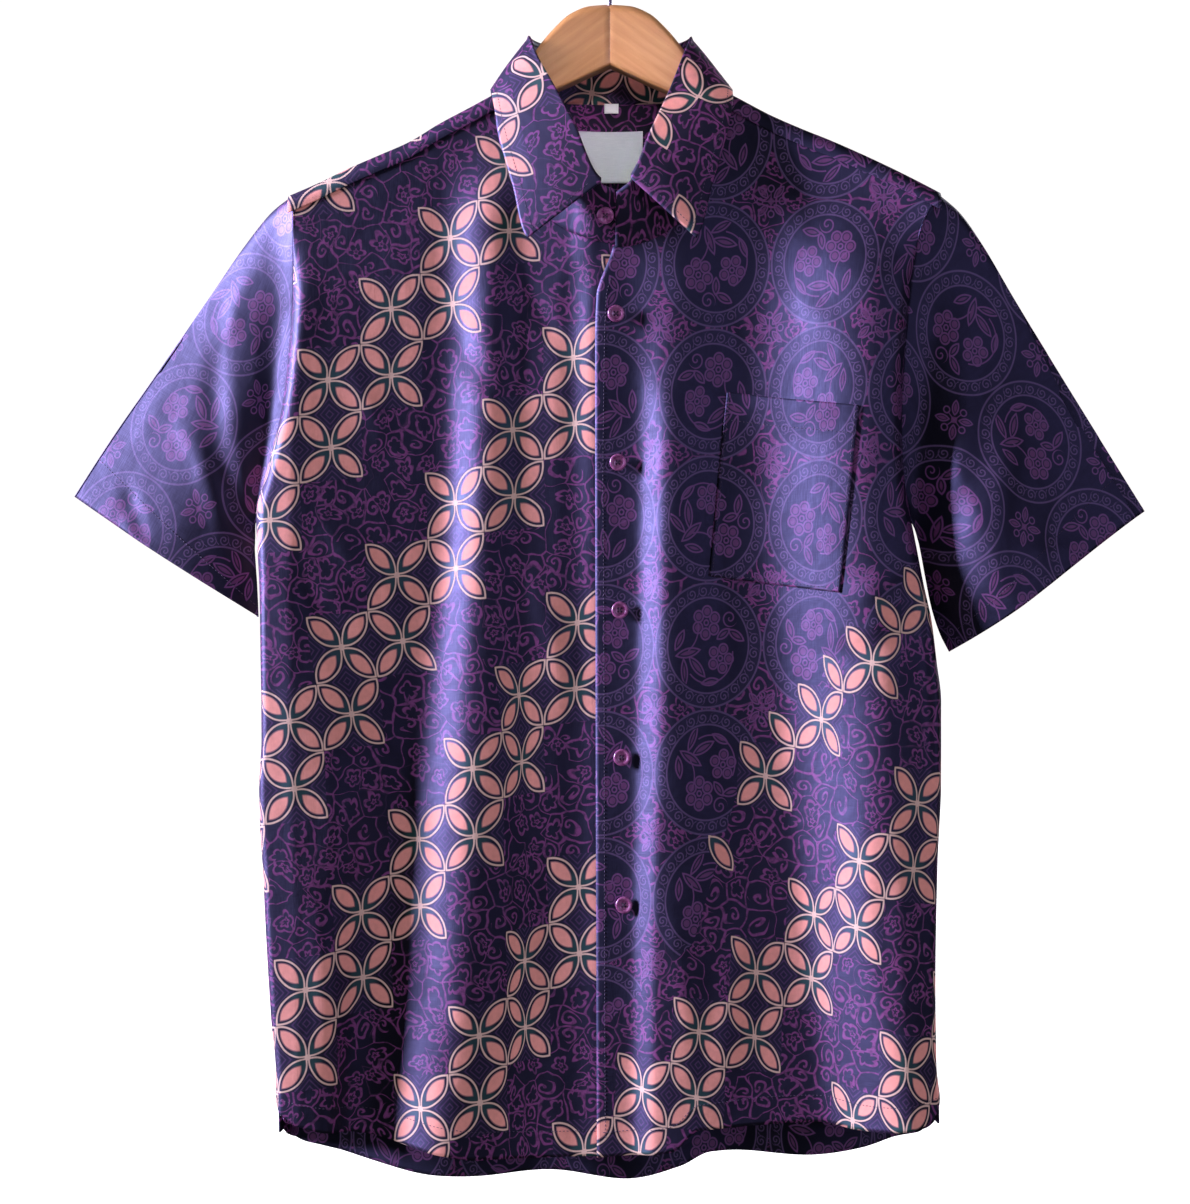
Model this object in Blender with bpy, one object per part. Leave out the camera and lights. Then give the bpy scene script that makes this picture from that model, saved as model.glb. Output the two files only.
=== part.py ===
"""Short-sleeved batik shirt, buttoned, hanging on a wooden hanger.

Lengths below are in millimetres; MM turns them to the metres of the scene.
Frame: +Z up, +X to the wearer's left, -Y is the front. The origin is where the
inside of the hook bears on a rail.

The cloth of the body is two height fields, front_y and back_y, over the plane X-Z.
They hang from the shoulder ridge, follow the folds in FRONT_FOLDS and BACK_FOLDS,
and turn back at each side to meet in the side seam. Every panel is a grid of points
on those fields, given a wall inwards.
"""

import math
from bisect import bisect_right
from collections import namedtuple

import bmesh
import bpy
from mathutils import Vector

MM = 0.001

# ---------------------------------------------------------------- driving sizes
CLOTH = 1.5          # wall of one panel, with its turnings
COLLAR_CLOTH = 1.6   # wall of stand and leaf, which are fused double
SEAM = 0.3           # gap between two pieces at a seam
SLEEVE_GAP = 1.4     # gap at the armhole, where the walls lean towards each other
NECK_LEFT, NECK_RIGHT = -76.5, 78.5      # where the shoulder ridge meets the neck
TIP_LEFT, TIP_RIGHT = -217.0, 223.0      # shoulder tips
ARMPIT = -408.0      # height where side seam and armhole meet
VENT_TOP = -800.0    # the side seams are open below this
VENT_SHIFT = 9.0     # the front's corner lies this far inside the back's at the hem
FRONT_YOKE_DROP = 13.0   # the yoke's front seam lies this far below the ridge
BACK_YOKE = -208.0   # height of the yoke's back seam
RIDGE_RADIUS = 11.0  # the cloth's bend over the hanger's arm
SIDE_TURN = 14.0     # width over which a panel turns back to its side seam
PLACKET_UNDER = 32.0 # the under front reaches this far past the upper front's edge
UNDER_GAP = 3.0      # and its outer face lies this far behind the upper front's
UNDER_DIP = 30.0, 24.0     # it starts to dip this far before that edge, over this width
UNDER_NARROWS = -330.0, 104.0   # from this height, over this one, it narrows to the neck
DRAPE = 16.0, 74.0   # this far below the ridge the folds set in, over this height
HELD_OUT = 30.0, 52.0      # the collar holds the back out within these x, then lets it go
NECK_SHARE_FROM = -400.0   # above this height a front's columns lean to the neck's points
TIP_SHARE = 60.0     # width over which the yoke's columns follow its armhole
FRONT_HEM_LEVEL, BACK_HEM_LEVEL = -840.0, -850.0   # where the hems' columns are spread
HANGER_SWEEP = 0.11  # the arms come forward this much for each unit outwards
BUTTON_RADIUS, BUTTON_HEIGHT = 5.8, 2.6
BUTTON_TOP, BUTTON_PITCH = -272.0, 100.0
BUTTON_X, BUTTON_DRIFT = 3.6, 1.4   # the buttonholes' line leans by this at each button
BUTTON_LIFT = 1.2    # gap between a button's back and the cloth
STAND_BUTTON, STAND_BUTTON_LIFT = 0.035, 1.6   # the same on the stand, by its t
POCKET_WALL, POCKET_LIFT = 1.2, 0.9   # the pocket's inner face lies this far off the front
LABEL_WALL, LABEL_LIFT = 1.0, 0.8     # the label's back lies this far off the yoke

# Heights at which the folds are laid out, from the shoulder to the hem.
FRONT_LEVELS = (-175, -260, -385, -535, -690, -850)
BACK_LEVELS = (-112, -190, -300, -430, -620, -850)

# A fold line runs down the cloth: x and depth at each level. Depth is how far the
# cloth stands in front of the hanger's plane (front) or behind it (back).
Fold = namedtuple("Fold", "name x depth")
FRONT_FOLDS = (
    Fold("right side crest", (-200, -202, -214, -214, -209, -206), (27, 36, 41, 43, 44, 42)),
    Fold("right hollow", (-130, -125, -123, -131, -142, -144), (24, 20, 19, 17, 15, 16)),
    Fold("main crest", (-84, -80, -90, -87, -91, -112), (31, 41, 42, 44, 47, 46)),
    Fold("chest hollow", (-52, -50, -52, -48, -50, -60), (33, 31, 34, 33, 34, 36)),
    Fold("placket edge", (-12, -11, -11, -10, -9, -9), (37, 42, 24, 20, 20, 22)),
    Fold("button crest", (46, 43, 38, 38, 29, 29), (36, 46, 43, 43, 42, 40)),
    Fold("left hollow", (106, 104, 100, 105, 121, 141), (24, 22, 18, 16, 15, 17)),
    Fold("left side crest", (186, 181, 174, 190, 207, 212), (28, 39, 44, 46, 46, 44)),
)
BACK_FOLDS = (
    Fold("right side crest", (-190, -190, -192, -198, -196, -188), (-3, 0, 12, 22, 28, 30)),
    Fold("right hollow", (-132, -132, -130, -124, -118, -126), (4, 6, 10, 13, 13, 13)),
    Fold("right crest", (-58, -56, -60, -62, -55, -50), (22, 22, 22, 27, 32, 32)),
    Fold("middle", (0, 2, 4, 8, 16, 18), (37, 28, 18, 15, 14, 14)),
    Fold("left crest", (60, 58, 62, 70, 82, 86), (22, 22, 22, 26, 31, 31)),
    Fold("left hollow", (132, 132, 130, 126, 136, 142), (3, 5, 9, 13, 13, 13)),
    Fold("left side crest", (196, 192, 184, 180, 192, 198), (-3, 0, 12, 20, 27, 29)),
)

# Outline of the body: height and x, armhole above the armpit, side seam below it.
Edge = namedtuple("Edge", "z x")
SIDE_RIGHT = (Edge(-192, -217), Edge(-200, -213.5), Edge(-230, -213.5), Edge(-263, -214.6),
              Edge(-300, -218), Edge(-330, -221.5), Edge(-360, -228), Edge(-384, -234.5),
              Edge(-408, -240.5), Edge(-462, -237.8), Edge(-506, -237), Edge(-561, -236.4),
              Edge(-588, -238), Edge(-616, -237.6), Edge(-643, -235.7), Edge(-698, -232.9),
              Edge(-752, -229.5), Edge(-780, -226.9), Edge(-807, -226.6), Edge(-880, -225))
SIDE_LEFT = (Edge(-190, 223), Edge(-206, 213), Edge(-223, 207.5), Edge(-263, 202.4),
             Edge(-300, 199.5), Edge(-330, 198), Edge(-360, 198.5), Edge(-384, 200.3),
             Edge(-408, 204.5), Edge(-428, 208.4), Edge(-455, 213.5), Edge(-479, 218.6),
             Edge(-506, 222), Edge(-534, 225.2), Edge(-588, 225.2), Edge(-616, 224.1),
             Edge(-643, 222.7), Edge(-725, 221.3), Edge(-780, 222), Edge(-807, 224.7),
             Edge(-880, 226))

# y of the armhole's front and back edges. They meet at the armpit.
Armhole = namedtuple("Armhole", "z front back")
ARMHOLE = (Armhole(-185, -34, -13), Armhole(-240, -34, -8), Armhole(-300, -31, -3),
           Armhole(-360, -26, -3), Armhole(-392, -19, -9), Armhole(-408, -14, -14),
           Armhole(-900, -14, -14))

# Top line of the shoulders. Between the neck points it is only a guide.
RIDGE = (Edge(-192, -217), Edge(-183, -197.5), Edge(-172.7, -177.5), Edge(-163.2, -157),
         Edge(-153.6, -136.5), Edge(-140.6, -116), Edge(-129.1, -95.5), Edge(-120.2, -80),
         Edge(-102, -45), Edge(-92, 0), Edge(-102, 45), Edge(-119.6, 82), Edge(-134.5, 109),
         Edge(-144.1, 129.5), Edge(-152.9, 150), Edge(-162.5, 170.5), Edge(-172.7, 191),
         Edge(-183.6, 211.5), Edge(-190, 223))

# Hems: x and height.
FRONT_HEM = (Edge(-814, -227), Edge(-822, -201), Edge(-827, -174), Edge(-833, -140),
             Edge(-839, -110), Edge(-843, -88), Edge(-843, -10), Edge(-838, 42),
             Edge(-824, 60), Edge(-821, 147), Edge(-823.5, 167), Edge(-820.5, 203),
             Edge(-816, 223))
BACK_HEM = (Edge(-838, -227), Edge(-849.5, -203), Edge(-859, -161), Edge(-866.6, -119),
            Edge(-869, -85), Edge(-867, -35), Edge(-868.8, 7), Edge(-861.8, 49),
            Edge(-854, 70), Edge(-852, 133), Edge(-849, 175), Edge(-843.6, 196),
            Edge(-838, 217), Edge(-828, 227))

# Free edge of the upper front, from the neck seam down: it swings out near the neck.
PLACKET = (Edge(-190, 5.2), Edge(-206, 5), Edge(-222, 3.2), Edge(-232, 0.6), Edge(-240, -2.6),
           Edge(-250, -6.6), Edge(-259, -9), Edge(-290, -10), Edge(-500, -9.8),
           Edge(-900, -8.7))

# The collar, from the wearer's right front end round the back to the left one. t is the
# share of the neck seam, top is the stand's upper edge, edge is the leaf's outer edge.
Collar = namedtuple("Collar", "t top edge")
COLLAR = (
    Collar(0.000, (12, -41, -193), (-38, -50, -226)),
    Collar(0.050, (-6, -47, -187), (-54.5, -50, -224)),
    Collar(0.130, (-24.5, -42, -147), (-65, -43, -188)),
    Collar(0.215, (-39.5, -32, -118), (-74, -35, -154)),
    Collar(0.280, (-49.5, -22, -98), (-79.5, -23, -124)),
    Collar(0.320, (-53, -10, -85), (-81, -7, -116.5)),
    Collar(0.350, (-54, 3, -80.5), (-81, 9, -117.5)),
    Collar(0.410, (-42, 26, -80), (-61, 33, -123)),
    Collar(0.508, (0, 39, -80), (0, 49, -126)),
    Collar(0.605, (42, 26, -80), (63, 33, -123)),
    Collar(0.665, (54, 3, -81), (83, 9, -117)),
    Collar(0.700, (53, -10, -87), (83, -7, -116.5)),
    Collar(0.740, (48.5, -22, -101), (83, -24, -125)),
    Collar(0.795, (39, -33, -127), (79, -34, -150)),
    Collar(0.880, (27, -43, -154), (69, -42, -184)),
    Collar(0.972, (14, -50, -185), (57.5, -51, -224.5)),
    Collar(1.000, (4, -47, -193), (48, -51, -230)),
)
STAND_OFF_SEAM = 1.3                # gap between the stand and the neck seam, under the leaf
LEAF_FROM, LEAF_TO = 0.050, 0.972   # the leaf stops short of the stand's ends
LEAF_OVER_STAND = 2.4               # the fold stands this much above the stand
LEAF_OFF_STAND = 2.6                # and its outer face this far outside the stand's
LEAF_FOLD_IN = 0.4                  # its folded edge lies this far outside the stand
LEAF_BULGE = 1.5                    # how far the leaf rounds outwards

# Sleeves: share of the way from armhole to cuff, then the upper fold line (x, z), the
# underarm line (x, z), how far the front and the back stand from the middle, its y, and
# where across the front the crest lies (0 at the upper fold, 1 at the underarm).
Sleeve = namedtuple("Sleeve", "s top under front back y crest")
SLEEVE_RIGHT = (
    Sleeve(0.00, (-217, -192), (-241.5, -408), 10, 10, -14, 0.50),
    Sleeve(0.08, (-229.5, -200.5), (-244.2, -415), 19, 18, -13, 0.50),
    Sleeve(0.18, (-248.5, -222), (-244, -424), 27, 24, -11, 0.50),
    Sleeve(0.35, (-274, -257.5), (-243.2, -437), 33, 27, -9, 0.50),
    Sleeve(0.60, (-311, -310.5), (-242, -455), 34, 28, -8, 0.52),
    Sleeve(0.82, (-341.5, -354.3), (-241.4, -467), 33, 28, -8, 0.54),
    Sleeve(1.00, (-367.5, -394.5), (-241, -477), 32, 27, -8, 0.55),
)
SLEEVE_LEFT = (
    Sleeve(0.00, (223, -190), (205.5, -408), 10, 10, -14, 0.50),
    Sleeve(0.08, (238, -201.5), (210.0, -418), 18, 18, -13, 0.55),
    Sleeve(0.18, (253.5, -221), (212.6, -430), 26, 24, -11, 0.60),
    Sleeve(0.35, (277, -259), (216.0, -449), 32, 27, -9, 0.64),
    Sleeve(0.60, (311, -314.5), (220.5, -471), 34, 28, -8, 0.66),
    Sleeve(0.82, (341, -363), (226.0, -488), 33, 28, -8, 0.68),
    Sleeve(1.00, (366.8, -404.5), (232.5, -501), 31, 27, -8, 0.68),
)

# Wooden hanger: half-sections outwards from the middle, then its upper and lower edge.
Wood = namedtuple("Wood", "x top bottom")
HANGER = (Wood(0, -55, -98), Wood(14, -56.5, -104.5), Wood(27, -62, -111),
          Wood(38, -72, -116), Wood(48, -84, -120.5), Wood(62, -104, -127),
          Wood(80, -123, -138), Wood(110, -134, -153), Wood(145, -150, -169),
          Wood(180, -172.5, -190), Wood(206, -188.5, -203))
HANGER_HALF = 7.4    # half the wood's thickness, and the radius of its upper edge
HANGER_EDGE = 2.0    # the bevel along its lower edges
WOOD_UNDER_CLOTH = 1.8   # gap between the wood and the cloth that it carries

HOOK_WIRE = 1.8      # radius of the hook's wire
HOOK_BEND = 19.0     # radius of its bend, to the middle of the wire


# ---------------------------------------------------------------- small maths
def clamp(value, low=0.0, high=1.0):
    return max(low, min(high, value))


def mix(a, b, share):
    return a + (b - a) * share


def ease(value):
    """0 to 1 with no slope at either end."""
    value = clamp(value)
    return value * value * (3 - 2 * value)


def through(keys, values, at):
    """A smooth curve through the values, which rises or falls only where they do."""
    if keys[0] > keys[-1]:
        keys, values = keys[::-1], values[::-1]
    if at <= keys[0]:
        return values[0]
    if at >= keys[-1]:
        return values[-1]
    last = len(keys) - 1
    i = bisect_right(keys, at) - 1

    def steep(k):
        return (values[k + 1] - values[k]) / (keys[k + 1] - keys[k])

    def slope(k):
        if k in (0, last):
            return steep(min(k, last - 1))
        one, two = steep(k - 1), steep(k)
        return 2 * one * two / (one + two) if one * two > 0 else 0.0

    span = keys[i + 1] - keys[i]
    s = (at - keys[i]) / span
    return (values[i] * (1 + 2 * s) * (1 - s) ** 2
            + slope(i) * span * s * (1 - s) ** 2
            + values[i + 1] * s * s * (3 - 2 * s)
            + slope(i + 1) * span * s * s * (s - 1))


def column(table, name):
    return [getattr(row, name) for row in table]


def by_height(table, z):
    return through(column(table, "z"), column(table, "x"), z)


def by_x(table, x):
    return through(column(table, "x"), column(table, "z"), x)


# ---------------------------------------------------------------- the cloth's form
def hanger_y(x):
    return -HANGER_SWEEP * abs(x)


def ridge_z(x):
    return by_x(RIDGE, x)


def roll(drop):
    """How far the cloth stands from the hanger's plane, this far below the ridge."""
    if drop >= RIDGE_RADIUS:
        return RIDGE_RADIUS
    return math.sqrt(max(0.0, RIDGE_RADIUS**2 - (RIDGE_RADIUS - drop) ** 2))


def fold_depth(levels, folds, x, z):
    """Depth of the folded cloth at one place: a smooth curve across the fold lines."""
    places = [through(levels, fold.x, z) for fold in folds]
    depths = [through(levels, fold.depth, z) for fold in folds]
    return through(places, depths, x)


def armhole_y(z, which):
    return through(column(ARMHOLE, "z"), column(ARMHOLE, which), z)


def turned(depth, x, z, which, sign):
    """The depth with its turn back to the side seam or the armhole."""
    side = sign * armhole_y(z, which)
    left, right = by_height(SIDE_RIGHT, z), by_height(SIDE_LEFT, z)
    inside = clamp(min(x - left, right - x) / SIDE_TURN)
    return side + (depth - side) * math.sqrt(max(0.0, 1 - (1 - inside) ** 2))


def held(drop):
    """1 where the hanger carries the cloth, 0 where it hangs in its folds."""
    return 1 - ease((drop - DRAPE[0]) / DRAPE[1])


def front_y(x, z):
    depth = turned(fold_depth(FRONT_LEVELS, FRONT_FOLDS, x, z), x, z, "front", -1)
    drop = max(0.0, ridge_z(x) - z)
    return -mix(depth, roll(drop) - hanger_y(x), held(drop))


def back_y(x, z):
    """The back leaves the ridge at once behind the neck, where the collar holds it out."""
    depth = turned(fold_depth(BACK_LEVELS, BACK_FOLDS, x, z), x, z, "back", 1)
    drop = max(0.0, ridge_z(x) - z)
    beside_neck = ease((abs(x) - HELD_OUT[0]) / HELD_OUT[1])
    return mix(depth, roll(drop) + hanger_y(x), held(drop) * beside_neck)


def placket_x(z):
    return by_height(PLACKET, z)


def under_y(x, z):
    """The under front dips behind the upper front before it passes under its edge."""
    dip = ease((x - placket_x(z) + UNDER_DIP[0]) / UNDER_DIP[1])
    return front_y(x, z) + UNDER_GAP * dip


# ---------------------------------------------------------------- neck seam
FRONT_NECK_STEPS, RIDGE_STEPS, BACK_NECK_STEPS = 9, 4, 12
RIGHT_END, LEFT_END = (12.0, -224.0), (3.5, -226.0)   # x and z of the seam's front ends
BACK_NECK = -113.5


def neck_front(side_x, end, step):
    """A point of the front neckline, from the yoke (step 0) down to its front end."""
    angle = math.pi / 2 * step / FRONT_NECK_STEPS
    start_z = ridge_z(side_x) - FRONT_YOKE_DROP
    x = end[0] + (side_x - end[0]) * math.cos(angle)
    return x, mix(start_z, end[1], math.sin(angle))


def neck_back_z(x):
    share = 1 - (x / (NECK_LEFT if x < 0 else NECK_RIGHT)) ** 2
    return mix(ridge_z(NECK_LEFT), BACK_NECK, share)


def neck_back_x(step):
    angle = math.pi * step / BACK_NECK_STEPS
    middle, half = (NECK_LEFT + NECK_RIGHT) / 2, (NECK_RIGHT - NECK_LEFT) / 2
    return middle - half * math.cos(angle)


def ridge_point(x, step):
    """The cloth over the ridge: step 0 at the yoke's front seam, RIDGE_STEPS on top."""
    if step == 0:
        z = ridge_z(x) - FRONT_YOKE_DROP
    else:
        angle = math.pi / 2 * (RIDGE_STEPS - step) / (RIDGE_STEPS - 1)
        z = ridge_z(x) - RIDGE_RADIUS * (1 - math.cos(angle))
    return Vector((x, front_y(x, z), z))


def neck_seam():
    """The whole neck seam, from the wearer's right front end round to the left one."""
    right, left = [], []
    for step in range(FRONT_NECK_STEPS, 0, -1):
        x, z = neck_front(NECK_LEFT, RIGHT_END, step)
        right.append(Vector((x, under_y(x, z), z)))
        x, z = neck_front(NECK_RIGHT, LEFT_END, step)
        left.append(Vector((x, front_y(x, z), z)))
    over_right = [ridge_point(NECK_LEFT, step) for step in range(RIDGE_STEPS)]
    over_left = [ridge_point(NECK_RIGHT, step) for step in range(RIDGE_STEPS)]
    back = []
    for step in range(BACK_NECK_STEPS + 1):
        x = neck_back_x(step)
        z = neck_back_z(x)
        back.append(Vector((x, back_y(x, z), z)))
    return right + over_right + back + over_left[::-1] + left[::-1]


# ---------------------------------------------------------------- Blender helpers
def clear_scene():
    for obj in list(bpy.data.objects):
        bpy.data.objects.remove(obj, do_unlink=True)


def material(name, colour, roughness, metallic=0.0):
    made = bpy.data.materials.new(name)
    made.use_nodes = True
    shader = made.node_tree.nodes["Principled BSDF"]
    shader.inputs["Base Color"].default_value = (*colour, 1)
    shader.inputs["Roughness"].default_value = roughness
    shader.inputs["Metallic"].default_value = metallic
    return made


def add_object(name, mesh, finish):
    obj = bpy.data.objects.new(name, mesh)
    obj.data.materials.append(finish)
    bpy.context.scene.collection.objects.link(obj)
    return obj


def mesh_of(name, build):
    """A mesh from a function that fills a bmesh, shaded smooth but for sharp edges."""
    bm = bmesh.new()
    build(bm)
    mesh = bpy.data.meshes.new(name)
    bm.to_mesh(mesh)
    bm.free()
    mesh.shade_smooth()
    mesh.set_sharp_from_angle(angle=math.radians(40))
    return mesh


def add_wall(name, rows, thickness, finish, ring=False, flip=False, keep=None):
    """Cloth: its outer face goes through rows of points and its wall goes inwards.

    keep(row, column) says whether the square whose first corner that is gets a face.
    """
    def build(bm):
        points = {}
        across = len(rows[0])

        def vertex(r, c):
            c %= across
            if (r, c) not in points:
                points[r, c] = bm.verts.new(rows[r][c] * MM)
            return points[r, c]

        for r in range(len(rows) - 1):
            for c in range(across if ring else across - 1):
                if keep is None or keep(r, c):
                    square = [vertex(r, c), vertex(r, c + 1),
                              vertex(r + 1, c + 1), vertex(r + 1, c)]
                    bm.faces.new(square[::-1] if flip else square)

    obj = add_object(name, mesh_of(name, build), finish)
    wall = obj.modifiers.new("wall", "SOLIDIFY")
    wall.thickness = thickness * MM
    wall.offset = -1
    wall.use_quality_normals = True
    return obj


def add_loft(name, rings, finish):
    """A solid through closed rings of points, with flat ends."""
    def build(bm):
        loops = [[bm.verts.new(point * MM) for point in ring] for ring in rings]
        count = len(loops[0])
        for one, two in zip(loops, loops[1:]):
            for k in range(count):
                bm.faces.new((one[k], one[(k + 1) % count], two[(k + 1) % count], two[k]))
        bm.faces.new(loops[0][::-1])
        bm.faces.new(loops[-1])
        bmesh.ops.recalc_face_normals(bm, faces=bm.faces)

    return add_object(name, mesh_of(name, build), finish)


# ---------------------------------------------------------------- body panels
LOW_ROWS, MIDDLE_ROWS, HIGH_ROWS = 2, 10, 8     # below the vent, to the armpit, above it
TURN_COLUMNS = 4                                # across the turn at a side


def turn_shares():
    """Shares across the side turn that space its arc evenly."""
    return [1 - math.cos(math.pi / 2 * k / TURN_COLUMNS) for k in range(TURN_COLUMNS)]


def front_columns(side_x, neck_x, end_x, shoulder_columns):
    """x of each column along a front's upper edge: side, neck point, front end."""
    toward = 1 if neck_x > side_x else -1
    columns = [side_x + toward * SIDE_TURN * share for share in turn_shares()]
    start = side_x + toward * SIDE_TURN
    columns += [mix(start, neck_x, k / shoulder_columns) for k in range(shoulder_columns)]
    for step in range(FRONT_NECK_STEPS + 1):
        columns.append(end_x + (neck_x - end_x) * math.cos(math.pi / 2 * step / FRONT_NECK_STEPS))
    return columns


def low_columns(side_x, end_x, count):
    """x of the same columns lower down, where they are evenly spread."""
    toward = 1 if end_x > side_x else -1
    columns = [side_x + toward * SIDE_TURN * share for share in turn_shares()]
    start = side_x + toward * SIDE_TURN
    rest = count - len(columns)
    columns += [mix(start, end_x, k / (rest - 1)) for k in range(rest)]
    return columns


def row_heights(hem, top):
    """Heights of one column's points: hem, vent, armpit, top."""
    heights = [mix(hem, VENT_TOP, k / LOW_ROWS) for k in range(LOW_ROWS)]
    heights += [mix(VENT_TOP, ARMPIT, k / MIDDLE_ROWS) for k in range(MIDDLE_ROWS)]
    heights += [mix(ARMPIT, top, k / HIGH_ROWS) for k in range(HIGH_ROWS + 1)]
    return heights


def front_rows(side, neck_x, end, end_x_at, surface, shoulder_columns=8):
    """Points of a front panel, a row for each height, from its side to its front edge."""
    toward = 1 if neck_x > by_height(side, ARMPIT) else -1
    top_side = side[0].x
    top_columns = front_columns(top_side, neck_x, end[0], shoulder_columns)
    count = len(top_columns)
    first_neck = TURN_COLUMNS + shoulder_columns
    grid = []
    for c in range(count):
        if c >= first_neck:
            top = neck_front(neck_x, end, c - first_neck)[1]
        else:
            top = ridge_z(top_columns[c]) - FRONT_YOKE_DROP
        hem_columns = low_columns(by_height(side, FRONT_HEM_LEVEL), end_x_at(FRONT_HEM_LEVEL), count)
        heights = row_heights(by_x(FRONT_HEM, hem_columns[c]), top - SEAM / 2)
        line = []
        for r, z in enumerate(heights):
            low = low_columns(by_height(side, z), end_x_at(z), count)[c]
            high_share = ease((z - NECK_SHARE_FROM) / (top - NECK_SHARE_FROM))
            high = top_columns[c] + (by_height(side, z) - top_side) * clamp(1 - c / first_neck)
            high += (end_x_at(z) - end[0]) * clamp((c - first_neck) / (count - 1 - first_neck))
            x = mix(low, high, high_share)
            if c == 0:
                x = by_height(side, z)
            if r < LOW_ROWS:
                x += toward * VENT_SHIFT * (1 - r / LOW_ROWS) * clamp(1 - c / shoulder_columns)
            y = surface(x, z)
            if c == 0 and z <= ARMPIT:
                y -= SEAM / 2
            line.append(Vector((x, y, z)))
        grid.append(line)
    return [[grid[c][r] for c in range(count)] for r in range(len(grid[0]))]


def under_end(z):
    """Hidden edge of the under front."""
    narrow = ease((z - UNDER_NARROWS[0]) / UNDER_NARROWS[1])
    return mix(placket_x(z) + PLACKET_UNDER, RIGHT_END[0], narrow)


def back_rows():
    """Points of the back, from its hem up to the yoke's seam."""
    middle_columns = 20
    shares = turn_shares()
    count = 2 * TURN_COLUMNS + middle_columns + 1

    def x_at(c, z):
        left, right = by_height(SIDE_RIGHT, z), by_height(SIDE_LEFT, z)
        if c < TURN_COLUMNS:
            return left + SIDE_TURN * shares[c]
        if c >= count - TURN_COLUMNS:
            return right - SIDE_TURN * shares[count - 1 - c]
        share = (c - TURN_COLUMNS) / middle_columns
        return mix(left + SIDE_TURN, right - SIDE_TURN, share)

    grid = []
    for c in range(count):
        line = []
        hem = by_x(BACK_HEM, x_at(c, BACK_HEM_LEVEL))
        for z in row_heights(hem, BACK_YOKE - SEAM / 2):
            x = x_at(c, z)
            gap = SEAM / 2 if c in (0, count - 1) and z <= ARMPIT else 0
            line.append(Vector((x, back_y(x, z) + gap, z)))
        grid.append(line)
    return [[grid[c][r] for c in range(count)] for r in range(len(grid[0]))]


def yoke_rows():
    """Points of the yoke, over the ridge from its front seam to its back one.

    Also gives the columns between which its front part is open for the neck.
    """
    shoulder_columns, lower_rows, wrap = 7, 4, 3
    turns = turn_shares()

    def shoulder(tip, neck):
        toward = 1 if neck > tip else -1
        places = [tip + toward * SIDE_TURN * share for share in turns]
        start = tip + toward * SIDE_TURN
        return places + [mix(start, neck, k / shoulder_columns) for k in range(shoulder_columns)]

    right, left = shoulder(TIP_LEFT, NECK_LEFT), shoulder(TIP_RIGHT, NECK_RIGHT)
    neck = [neck_back_x(step) for step in range(BACK_NECK_STEPS + 1)]
    columns = right + neck + left[::-1]
    first, last = len(right), len(right) + BACK_NECK_STEPS
    grid = []
    for c, x in enumerate(columns):
        line = [ridge_point(x, step) for step in range(RIDGE_STEPS)]
        line[0].z += SEAM / 2
        inner = first <= c <= last
        top = neck_back_z(x) if inner else ridge_z(x)
        heights = []
        for k in range(wrap + 1):
            share = k / wrap if inner else 1 - math.cos(math.pi / 2 * k / wrap)
            heights.append(top - RIDGE_RADIUS * share)
        low = heights[-1]
        heights += [mix(low, BACK_YOKE + SEAM / 2, k / lower_rows) for k in range(1, lower_rows + 1)]
        tip, side = (TIP_LEFT, SIDE_RIGHT) if x < 0 else (TIP_RIGHT, SIDE_LEFT)
        near = clamp(1 - abs(x - tip) / TIP_SHARE)
        for k, z in enumerate(heights):
            if k == 0 and not inner:
                continue
            at = x + (by_height(side, z) - tip) * near
            line.append(Vector((at, back_y(at, z), z)))
        if not inner:
            line.insert(RIDGE_STEPS, line[RIDGE_STEPS - 1].lerp(line[RIDGE_STEPS], 0.5))
        grid.append(line)
    rows = [[grid[c][r] for c in range(len(columns))] for r in range(len(grid[0]))]
    return rows, first, last


def armhole(front, yoke, back, at):
    """The armhole's points from the armpit up the front, over the yoke, down the back.

    A front's first column is its side, and in the back and the yoke it is column `at`.
    """
    low = LOW_ROWS + MIDDLE_ROWS
    loop = [row[0] for row in front[low:]]
    loop += [row[at] for row in yoke[1:-1]]
    loop += [row[at] for row in back[:low:-1]]
    return loop


def add_body(finish):
    """Both fronts, the back, the yoke and the sleeves that are set into them."""
    right = front_rows(SIDE_RIGHT, NECK_LEFT, RIGHT_END, under_end, under_y)
    left = front_rows(SIDE_LEFT, NECK_RIGHT, LEFT_END, placket_x, front_y)
    back = back_rows()
    yoke, first, last = yoke_rows()
    add_wall("front_right", right, CLOTH, finish)
    add_wall("front_left", left, CLOTH, finish, flip=True)
    add_wall("back", back, CLOTH, finish, flip=True)
    add_wall("yoke", yoke, CLOTH, finish, flip=True,
             keep=lambda r, c: not (first <= c < last and r < RIDGE_STEPS))
    add_sleeve("sleeve_right", SLEEVE_RIGHT, armhole(right, yoke, back, 0), finish, flip=False)
    add_sleeve("sleeve_left", SLEEVE_LEFT, armhole(left, yoke, back, -1), finish, flip=True)


# ---------------------------------------------------------------- sleeves
SLEEVE_ALONG = 9


def sleeve_value(table, name, s):
    return through(column(table, "s"), column(table, name), s)


def sleeve_line(table, name, s):
    pairs = column(table, name)
    places = column(table, "s")
    return [through(places, [pair[k] for pair in pairs], s) for k in (0, 1)]


def sleeve_shape(table, s, down, front):
    """down runs from 0 at the upper fold to 1 at the underarm, in front or behind."""
    top, under = sleeve_line(table, "top", s), sleeve_line(table, "under", s)
    lean = math.log(0.5) / math.log(sleeve_value(table, "crest", s))
    swell = max(0.0, math.sin(math.pi * clamp(down) ** lean)) ** 0.75
    reach = sleeve_value(table, "front" if front else "back", s) * (-1 if front else 1)
    y = sleeve_value(table, "y", s) + reach * swell
    return Vector((mix(top[0], under[0], down), y, mix(top[1], under[1], down)))


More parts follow.
